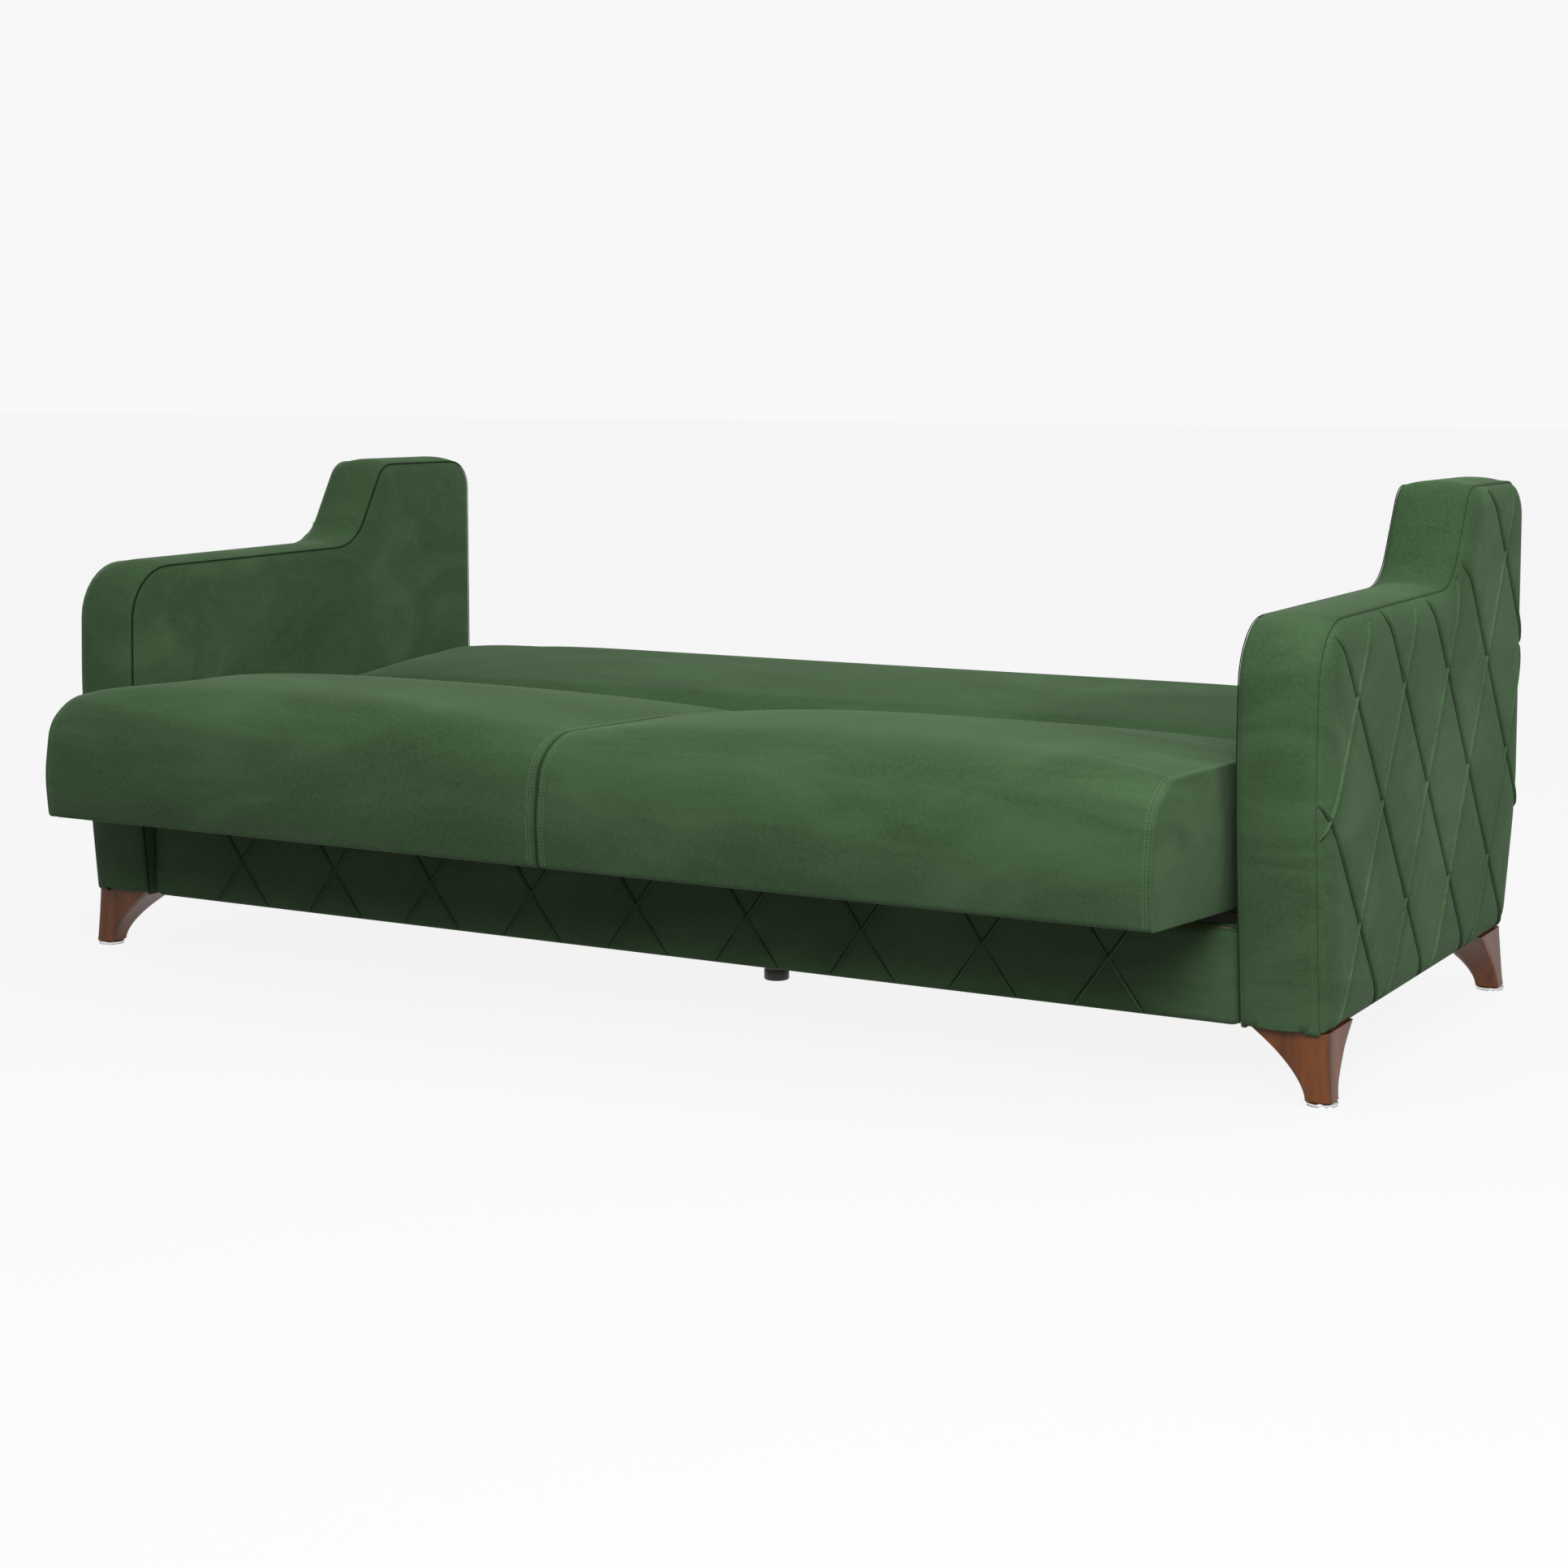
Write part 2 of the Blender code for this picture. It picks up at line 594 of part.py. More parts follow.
def build():
    clear_scene()
    velvet = finish("green_velvet", (0.055, 0.115, 0.045), 0.85)
    pine = finish("pine", (0.62, 0.45, 0.27), 0.6)
    ply = finish("plywood", (0.55, 0.40, 0.24), 0.6)
    hardboard = finish("hardboard", (0.35, 0.22, 0.12), 0.7)
    walnut = finish("walnut", (0.17, 0.05, 0.022), 0.35)
    chrome = finish("chrome", (0.8, 0.8, 0.8), 0.1, 1.0)
    steel = finish("zinc_plated_steel", (0.55, 0.55, 0.53), 0.35, 1.0)
    plastic = finish("black_plastic", (0.02, 0.02, 0.02), 0.5)
    rubber = finish("black_rubber", (0.03, 0.03, 0.03), 0.8)
    cloth = finish("black_lining", (0.03, 0.03, 0.03), 0.9)

    axes = {
        "rear": empty("rear_swing_axis", link_foot(REAR_TOP_PIVOT)),
        "front": empty("front_swing_axis", link_foot(FRONT_TOP_PIVOT)),
        "carriage": empty("carriage_axis", REAR_TOP_PIVOT),
        "hinge": empty("hinge_axis", HINGE),
    }
    build_chest(velvet, pine, hardboard, plastic)
    build_seat(axes["hinge"], velvet, pine, ply)
    build_back(axes["hinge"], velvet, pine, ply, cloth)
    for label, side in SIDES:
        build_arm(label, side, velvet, pine, steel)
        build_linkage(label, side, axes, steel, rubber)
        build_leg(f"front_{label}", side, 0.047, -1, walnut, chrome)
        build_leg(f"rear_{label}", side, 0.846, 1, walnut, chrome)


build()
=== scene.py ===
"""Looks of a three-seat sofa bed: velvet covers, quilting, seams, legs and fittings.

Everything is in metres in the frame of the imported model: X along the length, the front
faces -Y, +Z up. Shapes are drawn in workshop coordinates, where y is measured back from
the front plane of the two arms, and SHIFT moves them into the frame.
"""
import math

import bmesh
import bpy
import numpy as np
from mathutils import Matrix, Vector


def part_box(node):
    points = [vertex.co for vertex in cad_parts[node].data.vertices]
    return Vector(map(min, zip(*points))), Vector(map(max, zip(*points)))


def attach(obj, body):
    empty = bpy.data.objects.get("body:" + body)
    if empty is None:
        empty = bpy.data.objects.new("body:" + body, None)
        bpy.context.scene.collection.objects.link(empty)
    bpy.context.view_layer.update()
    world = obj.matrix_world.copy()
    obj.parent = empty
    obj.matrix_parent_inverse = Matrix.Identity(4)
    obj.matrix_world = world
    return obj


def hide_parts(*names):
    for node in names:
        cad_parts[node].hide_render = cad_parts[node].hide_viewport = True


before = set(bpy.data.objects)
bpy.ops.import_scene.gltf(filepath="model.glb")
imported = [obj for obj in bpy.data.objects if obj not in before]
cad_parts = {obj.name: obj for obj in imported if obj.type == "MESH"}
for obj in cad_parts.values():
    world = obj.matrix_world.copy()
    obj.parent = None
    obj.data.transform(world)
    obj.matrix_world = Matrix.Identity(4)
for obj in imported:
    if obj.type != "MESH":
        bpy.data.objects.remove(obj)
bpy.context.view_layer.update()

# ---- sizes --------------------------------------------------------------------------
PANEL_FRONT = 0.033                  # chest panel behind the arms' front plane
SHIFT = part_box("chest_front_panel")[0].y - PANEL_FRONT
INNER_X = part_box("arm_inner_panel_right")[0].x
BAND_X = (INNER_X + 0.0035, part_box("arm_outer_panel_right")[0].x)
ARM_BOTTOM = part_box("arm_band_right")[0].z
WING_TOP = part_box("arm_band_right")[1].z
ARM_REST = 0.642
ARM_REAR = 0.928
WALL = 0.003                         # cover and wadding of the arm panels
SEAM_GAP = 0.0008
SEAM_ROLL = 0.0060                   # the band turns down into its seams over this width
SEAM_RIMS = (0.0010, 0.0020, 0.0040)
# A dark strip down each arm seam: painted shade.
SEAM_LINE = {"width": 0.0030, "rise": 0.0009}
BAND_CROWN = 0.0085
BAND_GRID = (26, 340)
OUTER_CELL = 0.008                   # size of the small squares of the outer panels
INNER_CELL = 0.014
INNER_ROLL = {"width": 0.022, "depth": 0.0045}

SEAT_HALF = 0.928
SEAT_SLOPE = math.radians(3.5)
SEAT_FRONT = (-0.228, 0.264)
SEAT_DEPTH = 0.649
BACK_SLOPE = math.radians(4.6)
BACK_FRONT = (0.455, 0.262)
BACK_DEPTH = 0.468
CUSHION_WALL = 0.0145
SEAT_HOLLOW = 0.0530
BACK_HOLLOW = 0.0470

QUILT_PITCH = 0.205                  # diamonds on the arms
QUILT_START = (0.131, 0.232)
QUILT_RISE = (0.582, -0.758)         # run per rise of the two sets of tucks
PANEL_PITCH = 0.190                  # diamonds on the chest panel
PANEL_CROSSING = 0.167
PANEL_RUN = 0.72
PANEL_GRID = (420, 40)
PANEL_BOW = 0.0012
PANEL_DIP = {"width": 0.026, "depth": 0.0014}
PANEL_END = {"width": 0.014, "depth": 0.006}
PANEL_TUCK_SINK = 0.0022
TUCK_WIDTH = 0.0046
TUCK_HEIGHT = 0.0042
TUCK_HUMP = {"width": 0.008, "rise": 0.0016}
TUCK_TAPER = 3                       # steps over which a tuck rises at its ends
# Dark strips beside each tuck, in a darkened velvet copy: painted shade of the crevice.
CREVICE = {"width": 0.0030, "rise": 0.0012, "aside": 0.0030}

SEAT_FILLING = {"around": 136, "cap": 0.016}
BACK_FILLING = {"around": 104, "cap": 0.012}
CREASE_GAP = 0.003                   # half the gap between the two seat cushions
CAP_CELL = 0.013
CAP_RIMS = (0.003, 0.006)
UNDER_STEPS = 10
END_PUFF = 0.0085                    # the seat's outer ends, ahead of the fold-out fitting
END_PUFF_REACH = 0.30
STITCH_INSETS = (0.006, 0.011)
STITCH_PITCH = 0.0050
STITCH_SIZE = (0.0021, 0.0005, 0.0005)
STITCH_SINK = 0.0007
CLOTH_STEPS = 20

LEG_GRID = (48, 28)
LEGS = (("front", 0.047, -1), ("rear", 0.846, 1))     # end, y of its glide, which way it leans
GLIDE_X = 1.060
LEG_SCREW = (1.022, 0.0652, 0.075)   # x, how far from the glide, z
LEG_SCREW_LEAN = (0.666, -0.746)
BOLT_PROUD = 0.0002

ARC_STEPS = 8
FAR = 9.0
SIDES = (("left", -1), ("right", 1))
PAPER_WHITE = 0.94

# ---- camera -------------------------------------------------------------------------
CAMERA_PLACE = (2.2329, -3.4555 + SHIFT, 0.9689)
CAMERA_YAW = 29.578
CAMERA_PITCH = -5.304
CAMERA_LENS = 64.47
CAMERA_SHIFT_Y = -0.0999


# ---- shader maths -------------------------------------------------------------------
class Value:
    """A socket that takes part in arithmetic. Each operation adds one Math node."""

    def __init__(self, graph, socket):
        self.graph = graph
        self.socket = socket

    def math(self, operation, first, second):
        node = self.graph.node("ShaderNodeMath", {"operation": operation}, {0: first, 1: second})
        return node["Value"]

    def __add__(self, other):
        return self.math("ADD", self, other)

    def __radd__(self, other):
        return self.math("ADD", other, self)

    def __sub__(self, other):
        return self.math("SUBTRACT", self, other)

    def __mul__(self, other):
        return self.math("MULTIPLY", self, other)

    def clamp(self):
        return self.math("MINIMUM", self.math("MAXIMUM", self, 0.0), 1.0)


class Made:
    """A node whose outputs are read by name."""

    def __init__(self, graph, node):
        self.graph = graph
        self.raw = node

    def __getitem__(self, name):
        return Value(self.graph, self.raw.outputs[name])


class Graph:
    """The nodes of one material."""

    def __init__(self, name):
        self.material = bpy.data.materials.new(name)
        self.material.use_nodes = True
        self.tree = self.material.node_tree
        self.shader = self.tree.nodes["Principled BSDF"]

    def node(self, kind, settings=None, inputs=None):
        raw = self.tree.nodes.new(kind)
        for key, value in (settings or {}).items():
            if key == "stops":
                set_stops(raw, value)
            else:
                setattr(raw, key, value)
        for key, value in (inputs or {}).items():
            self.feed(raw.inputs[key], value)
        return Made(self, raw)

    def feed(self, socket, value):
        if isinstance(value, Value):
            self.tree.links.new(value.socket, socket)
        else:
            socket.default_value = value

    def place(self, scale):
        """Object coordinates, stretched."""
        source = self.node("ShaderNodeTexCoord")["Object"]
        return self.node("ShaderNodeMapping", None, {"Vector": source, "Scale": scale})["Vector"]

    def noise(self, scale, detail, roughness, stretch=(1, 1, 1), distortion=0.0):
        inputs = {"Vector": self.place(stretch), "Scale": scale, "Detail": detail,
                  "Roughness": roughness, "Distortion": distortion}
        return self.node("ShaderNodeTexNoise", None, inputs)["Fac"]

    def mix(self, factor, first, second):
        inputs = {0: factor, 6: first, 7: second}
        node = self.node("ShaderNodeMix", {"data_type": "RGBA"}, inputs)
        return Value(self, node.raw.outputs[2])

    def ramp(self, factor, stops):
        return self.node("ShaderNodeValToRGB", {"stops": stops}, {0: factor})["Color"]

    def bump(self, height, strength, distance):
        inputs = {"Height": height, "Strength": strength, "Distance": distance}
        self.finish({"Normal": self.node("ShaderNodeBump", None, inputs)["Normal"]})

    def finish(self, inputs):
        for key, value in inputs.items():
            self.feed(self.shader.inputs[key], value)
        return self.material


def set_stops(ramp, stops):
    elements = ramp.color_ramp.elements
    while len(elements) < len(stops):
        elements.new(0.5)
    for element, (position, color) in zip(elements, stops):
        element.position = position
        element.color = (*color, 1.0)


# ---- materials ----------------------------------------------------------------------
def velvet(name, shade=1.0):
    """Short-pile velvet: nap brushed lighter and darker, a fine grain and a soft sheen."""
    g = Graph(name)
    deep = tuple(shade * c for c in (0.026, 0.058, 0.0215)) + (1.0,)
    plain = tuple(shade * c for c in (0.050, 0.104, 0.0435)) + (1.0,)
    pale = tuple(shade * c for c in (0.085, 0.150, 0.075)) + (1.0,)
    strokes = g.noise(5.0, 5.0, 0.62, (0.45, 1.0, 1.5), 1.2)
    patches = g.noise(1.7, 3.0, 0.5, distortion=0.5)
    pile = g.noise(210.0, 3.0, 0.75)
    grain = g.noise(640.0, 2.0, 0.7)
    nap = ((strokes - 0.5) * 2.0 + (patches - 0.5) * 1.2 + 0.55).clamp()
    body = g.mix(nap, deep, plain)
    lit = ((strokes + patches - 1.04) * 2.6).clamp()
    color = g.mix(lit * 0.55, body, pale)
    speckle = ((pile + grain - 1.0) * 2.2 + 0.4).clamp()
    g.bump(pile * 0.6 + grain * 0.4, 0.35, 0.0009)
    return g.finish({"Base Color": g.mix(speckle * 0.45, color, pale), "Roughness": 0.90,
                     "Sheen Weight": 0.20, "Sheen Roughness": 0.40,
                     "Sheen Tint": (0.50, 0.76, 0.46, 1.0), "Specular IOR Level": 0.10})


def thread():
    """Sewing thread, a little brighter than the velvet."""
    g = Graph("green_thread")
    twist = g.noise(900.0, 1.0, 0.5)
    color = g.mix(twist, (0.060, 0.130, 0.058, 1), (0.130, 0.220, 0.120, 1))
    g.bump(twist, 0.3, 0.0003)
    return g.finish({"Base Color": color, "Roughness": 0.6, "Sheen Weight": 0.3})


def walnut():
    """Stained beech: fine upright grain, darker in the pores, under a satin lacquer."""
    g = Graph("stained_walnut")
    rings = g.noise(26.0, 4.0, 0.6, (1.0, 1.0, 0.10), 0.5)
    pores = g.noise(420.0, 3.0, 0.6, (1.0, 1.0, 0.05))
    stain = g.ramp(rings, [(0.30, (0.075, 0.021, 0.005)), (0.55, (0.185, 0.054, 0.012)),
                           (0.80, (0.290, 0.100, 0.024))])
    color = g.mix(((pores - 0.52) * 3.0).clamp() * 0.6, stain, (0.045, 0.014, 0.008, 1))
    g.bump(pores * 0.6 + rings * 0.4, 0.18, 0.0006)
    return g.finish({"Base Color": color, "Roughness": 0.36 + pores * 0.16, "Coat Weight": 0.10,
                     "Coat Roughness": 0.20, "Specular IOR Level": 0.30})


def softwood(name, light, dark, grain):
    """Planed boards. grain is small along the axis that the grain follows."""
    g = Graph(name)
    rings = g.noise(22.0, 5.0, 0.6, grain, 1.2)
    fibres = g.noise(300.0, 2.0, 0.6, grain)
    color = g.ramp(rings, [(0.25, dark), (0.50, light), (0.60, tuple(0.86 * c for c in light)),
                           (0.80, light)])
    g.bump(fibres, 0.25, 0.0006)
    return g.finish({"Base Color": g.mix(fibres * 0.25, color, (*dark, 1.0)), "Roughness": 0.62})


def hardboard():
    """Brown pressed fibre board."""
    g = Graph("hardboard")
    fibres = g.noise(160.0, 4.0, 0.7)
    color = g.mix(fibres, (0.13, 0.070, 0.035, 1), (0.27, 0.155, 0.080, 1))
    g.bump(fibres, 0.2, 0.0004)
    return g.finish({"Base Color": color, "Roughness": 0.55})


def chrome():
    """Bright chrome with faint smears."""
    g = Graph("bright_chrome")
    smears = g.noise(60.0, 3.0, 0.6)
    return g.finish({"Base Color": (0.86, 0.86, 0.87, 1), "Metallic": 1.0,
                     "Roughness": 0.06 + smears * 0.08})


def painted_steel():
    """Pressed steel under black powder coat: a fine orange peel, a little worn."""
    g = Graph("black_powder_coat")
    peel = g.noise(380.0, 2.0, 0.5)
    wear = g.noise(30.0, 4.0, 0.7)
    worn = ((wear - 0.66) * 6.0).clamp()
    g.bump(peel, 0.25, 0.0003)
    return g.finish({"Base Color": g.mix(worn, (0.012, 0.012, 0.013, 1), (0.090, 0.088, 0.085, 1)),
                     "Metallic": 0.2 + worn * 0.4, "Roughness": 0.42 + peel * 0.12})


def moulded(name, color, roughness, grain_scale):
    """Moulded plastic or rubber with a fine spark-eroded grain."""
    g = Graph(name)
    grain = g.noise(grain_scale, 2.0, 0.6)
    lighter = tuple(1.6 * c + 0.004 for c in color) + (1.0,)
    g.bump(grain, 0.2, 0.0003)
    return g.finish({"Base Color": g.mix(grain, (*color, 1.0), lighter),
                     "Roughness": roughness + (grain - 0.5) * 0.2})


def lining():
    """Black non-woven lining: pressed dots on a fibrous sheet."""
    g = Graph("black_lining")
    fibres = g.noise(350.0, 3.0, 0.7)
    color = g.mix(fibres, (0.012, 0.012, 0.013, 1), (0.045, 0.045, 0.048, 1))
    g.bump(fibres, 0.5, 0.0006)
    return g.finish({"Base Color": color, "Roughness": 0.9})


def white_paper():
    """Studio paper that glows nearly white by itself and takes a faint contact shadow."""
    g = Graph("studio_floor")
    tone = g.noise(0.4, 2.0, 0.5)
    color = g.mix(tone, (0.070, 0.070, 0.070, 1), (0.073, 0.073, 0.073, 1))
    return g.finish({"Base Color": color, "Roughness": 0.95, "Specular IOR Level": 0.0,
                     "Emission Color": (1.0, 1.0, 1.0, 1.0), "Emission Strength": 0.882})


# ---- outlines -----------------------------------------------------------------------
def fillet(before, corner, after, radius):
    """The arc that rounds off a corner between its two neighbours."""
    corner = Vector(corner)
    back = (Vector(before) - corner).normalized()
    ahead = (Vector(after) - corner).normalized()
    half = back.angle(ahead) / 2
    reach = radius / math.tan(half)
    centre = corner + (back + ahead).normalized() * (radius / math.sin(half))
    start = corner + back * reach - centre
    turn = start.angle_signed(corner + ahead * reach - centre)
    return [tuple(centre + Matrix.Rotation(-turn * step / ARC_STEPS, 2) @ start)
            for step in range(ARC_STEPS + 1)]


def rounded(corners):
    """A closed outline from corners (y, z, radius)."""
    outline = []
    for index, (y, z, radius) in enumerate(corners):
        before = corners[index - 1][:2]
        after = corners[(index + 1) % len(corners)][:2]
        outline += fillet(before, (y, z), after, radius)
    return outline


def evenly(points, count, closed=False):
    """The same path with evenly spaced points."""
    path = np.array(points + [points[0]] if closed else points, float)
    steps = np.hypot(*np.diff(path, axis=0).T)
    run = np.concatenate([[0.0], np.cumsum(steps)])
    marks = np.linspace(0.0, run[-1], count + 1)
    marks = marks[:-1] if closed else marks
    return np.stack([np.interp(marks, run, path[:, 0]), np.interp(marks, run, path[:, 1])], 1)


def finely(points, step):
    """The closed outline, its long edges divided."""
    fine = []
    for start, end in zip(points, points[1:] + points[:1]):
        count = max(1, math.ceil(math.dist(start, end) / step))
        line = np.linspace(start, end, count + 1)[:-1]
        fine += [tuple(point) for point in line]
    return fine


def normals(path):
    """Unit normals on the left of an open path, for each point."""
    along = np.gradient(path, axis=0)
    along /= np.linalg.norm(along, axis=1, keepdims=True)
    return np.stack([-along[:, 1], along[:, 0]], 1)


def arm_corners():
    """The arm's side view: front, arm rest, rise to the wing, wing, rear."""
    return [
        (0.024, ARM_BOTTOM, 0.006),
        (-0.006, 0.400, 1.500),
        (0.000, ARM_REST - 0.002, 0.088),
        (0.583, ARM_REST + 0.004, 0.090),
        (0.667, WING_TOP, 0.045),
        (ARM_REAR, WING_TOP - 0.001, 0.052),
        (ARM_REAR + 0.001, 0.300, 0.350),
        (0.868, ARM_BOTTOM, 0.035),
    ]


def seat_corners(crown):
    """The seat's side view in its own frame. crown is 0 at the end seams and 1 between them."""
    return [
        (0.000, 0.000, 0.006),
        (-0.011 - 0.004 * crown, 0.068, 0.200),
        (-0.003, 0.150 + 0.030 * crown, 0.055 - 0.012 * crown),
        (0.045 - 0.020 * crown, 0.190 + 0.020 * crown, 0.090 - 0.040 * crown),
        (0.330, 0.200 + 0.022 * crown, 0.700),
        (0.566, 0.196 + 0.008 * crown, 0.060),
        (SEAT_DEPTH - 0.004, 0.160, 0.010),
        (SEAT_DEPTH - 0.004, 0.000, 0.006),
    ]


def back_corners(crown):
    """The back's side view in its own frame, lying flat."""
    return [
        (0.003, 0.000, 0.006),
        (0.003, 0.120, 0.012),
        (0.084, 0.143 + 0.008 * crown, 0.060),
        (0.250, 0.146 + 0.012 * crown, 0.900),
        (BACK_DEPTH - 0.006, 0.143 + 0.006 * crown, 0.045),
        (BACK_DEPTH - 0.010, 0.000, 0.012),
    ]


# ---- making pieces ------------------------------------------------------------------
def mapped_grid(across, along, place):
    """A grid of quads whose points are moved by place(s, t), with s and t from 0 to 1."""
    bm = bmesh.new()
    bmesh.ops.create_grid(bm, x_segments=across, y_segments=along, size=0.5)
    for vert in bm.verts:
        vert.co = place(vert.co.x + 0.5, vert.co.y + 0.5)
    return bm


def dice(bm, kept, step, axes=(1, 2)):
    """Cuts the faces that are not kept into small squares."""
    for axis in axes:
        facing = Vector([1.0 if axis == other else 0.0 for other in range(3)])
        spread = [v.co[axis] for f in bm.faces if f not in kept for v in f.verts]
        low, high = min(spread), max(spread)
        count = int((high - low) / step)
        for cut in range(1, count):
            place = facing * (low + (high - low) * cut / count)
            faces = [f for f in bm.faces if f not in kept]
            edges = {e for f in faces for e in f.edges}
            verts = {v for f in faces for v in f.verts}
            bmesh.ops.bisect_plane(bm, geom=faces + list(edges) + list(verts), dist=0.0008,
                                   plane_co=place, plane_no=facing)


def panel_sheet(outline, x, step, rims):
    """A flat sheet of this outline: narrow rims along its seam, small squares inside."""
    bm = bmesh.new()
    face = bm.faces.new([bm.verts.new((x, y, z)) for y, z in outline])
    for width in rims:
        bmesh.ops.inset_individual(bm, faces=[face], thickness=width, use_even_offset=True)
    kept = {f for f in bm.faces if f != face}
    dice(bm, kept, step)
    return bm


def joined(parts):
    """Several bmeshes as one."""
    whole = bmesh.new()
    for part in parts:
        scratch = bpy.data.meshes.new("scratch")
        part.to_mesh(scratch)
        part.free()
        whole.from_mesh(scratch)
        bpy.data.meshes.remove(scratch)
    return whole


def mirrored(bm, side):
    """The left-hand copy of a right-hand shape, when side is -1."""
    if side < 0:
        bmesh.ops.scale(bm, verts=bm.verts, vec=(-1, 1, 1))
        bmesh.ops.reverse_faces(bm, faces=bm.faces)
    return bm


def make(name, bm, material, body, stands_for=(), smooth_angle=60.0, shift=True):
    """Moves a bmesh into the frame and makes it a piece that rides on a body."""
    if shift:
        bmesh.ops.translate(bm, verts=bm.verts, vec=(0, SHIFT, 0))
    mesh = bpy.data.meshes.new(name)
    bm.to_mesh(mesh)
    bm.free()
    mesh.materials.append(material)
    mesh.shade_smooth()
    mesh.set_sharp_from_angle(angle=math.radians(smooth_angle))
    piece = bpy.data.objects.new(name, mesh)
    bpy.context.scene.collection.objects.link(piece)
    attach(piece, body)
    if stands_for:
        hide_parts(*stands_for)
    return piece


def thicken(piece):
    """Gives a cover its thickness, inward."""
    wall = piece.modifiers.new("wall", "SOLIDIFY")
    wall.thickness = WALL
    wall.offset = -1.0
    wall.use_even_offset = True


def refine(piece):
    """Smooths a cushion by one subdivision."""
    finer = piece.modifiers.new("finer", "SUBSURF")
    finer.levels = 1
    finer.render_levels = 1


def turned(profile, centre, sides=48):
    """A turned piece about a vertical axis, spun from (radius, z) points, bottom to top."""
    bm = bmesh.new()
    points = [(0.0, profile[0][1])] + list(profile) + [(0.0, profile[-1][1])]
    verts = [bm.verts.new((centre[0] + r, centre[1], z)) for r, z in points]
    edges = [bm.edges.new(pair) for pair in zip(verts, verts[1:])]
    bmesh.ops.spin(bm, geom=verts + edges, cent=(*centre, 0), axis=(0, 0, 1),
                   angle=2 * math.pi, steps=sides, use_merge=True)
    bmesh.ops.remove_doubles(bm, verts=bm.verts, dist=1e-6)
    bmesh.ops.recalc_face_normals(bm, faces=bm.faces)
    return bm


def soft_block(low, high, radius):
    """A block with rounded edges."""
    bm = bmesh.new()
    bmesh.ops.create_cube(bm, size=1.0)
    size = [b - a for a, b in zip(low, high)]
    bmesh.ops.scale(bm, verts=bm.verts, vec=size)
    bmesh.ops.translate(bm, verts=bm.verts, vec=[(a + b) / 2 for a, b in zip(low, high)])
    bmesh.ops.bevel(bm, geom=bm.edges[:], offset=radius, offset_type="OFFSET", affect="EDGES",
                    segments=3, profile=0.5, material=-1)
    return bm


# ---- arms ---------------------------------------------------------------------------
class Quilt:
    """The padded surface of an arm's outer panel, and the tucks sewn across it."""

    PUFF = 0.0185                    # how far the panel stands out of its seam
    EDGE = 0.050                     # over this distance from the seam
    PILLOW = 0.0016
    PILLOW_EDGE = 0.030

    def __init__(self, outline):
        loop = np.array(outline + [outline[0]], float)
        self.starts = loop[:-1]
        self.steps = loop[1:] - loop[:-1]
        self.lengths = (self.steps ** 2).sum(1)

    def from_edge(self, points):
        """Distance of each point from the outline."""
        nearest = np.full(len(points), FAR)
        for start, step, length in zip(self.starts, self.steps, self.lengths):
            t = np.clip(((points - start) @ step) / max(length, 1e-12), 0, 1)
            gap = np.linalg.norm(points - start - t[:, None] * step, axis=1)
            nearest = np.minimum(nearest, gap)
        return nearest

    def inside(self, point):
        """Whether a point is inside the outline."""
        crossings = 0
        for start, step in zip(self.starts, self.steps):
            low, high = sorted((start[1], start[1] + step[1]))
            if low <= point[1] < high:
                where = start[0] + step[0] * (point[1] - start[1]) / step[1]
                crossings += where > point[0]
        return crossings % 2 == 1

    def along_y(self, points, run):
        """How far each point is from the nearest tuck of one set, measured along y."""
        offset = points[:, 0] - QUILT_START[0] - run * (points[:, 1] - QUILT_START[1])
        return np.abs((offset + QUILT_PITCH / 2) % QUILT_PITCH - QUILT_PITCH / 2)

    def from_tuck(self, points):
        """Distance of each point from the nearest tuck."""
        nearest = np.full(len(points), FAR)
        for run in QUILT_RISE:
            nearest = np.minimum(nearest, self.along_y(points, run) / math.hypot(1, run))
        return nearest

    def height(self, points):
        """How far the panel stands out at each point."""
        edge = np.clip(self.from_edge(points) / self.EDGE, 0, 1)
        dome = self.PUFF * np.sqrt(1 - (1 - edge) ** 2.2)
        pillow = np.clip(self.from_tuck(points) / self.PILLOW_EDGE, 0, 1)
        return dome - self.PILLOW * (1 - pillow) ** 2 * edge ** 0.5


def tuck_strip(points, out, hump=None, width=TUCK_WIDTH, rise=TUCK_HEIGHT, aside=0.0):
    """A narrow ridge along 3D points, moved aside if asked. out is the normal at each."""
    points = np.array(points)
    out = np.array(out)
    along = np.gradient(points, axis=0)
    along /= np.linalg.norm(along, axis=1, keepdims=True)
    across = np.cross(out, along)
    across /= np.linalg.norm(across, axis=1, keepdims=True)
    points = points + across * aside
    half = width / 2
    profile = [(-half, -0.3 * rise), (-0.55 * half, 0.55 * rise), (0.0, rise),
               (0.55 * half, 0.55 * rise), (half, -0.3 * rise), (0.0, -0.8 * rise)]
    last = len(points) - 1

    def place(s, t):
        side, up = profile[round(s * len(profile)) % len(profile)]
        index = round(t * last)
        taper = min(1.0, 0.35 + min(index, last - index) / TUCK_TAPER)
        lift = up * taper + (hump[index] if hump is not None else 0.0)
        return Vector(points[index] + across[index] * side * taper + out[index] * lift)

    bm = mapped_grid(len(profile), last, place)
    bmesh.ops.remove_doubles(bm, verts=bm.verts, dist=1e-6)
    ends = [edge for edge in bm.edges if edge.is_boundary]
    bmesh.ops.holes_fill(bm, edges=ends, sides=len(profile))
    bmesh.ops.recalc_face_normals(bm, faces=bm.faces)
    return bm


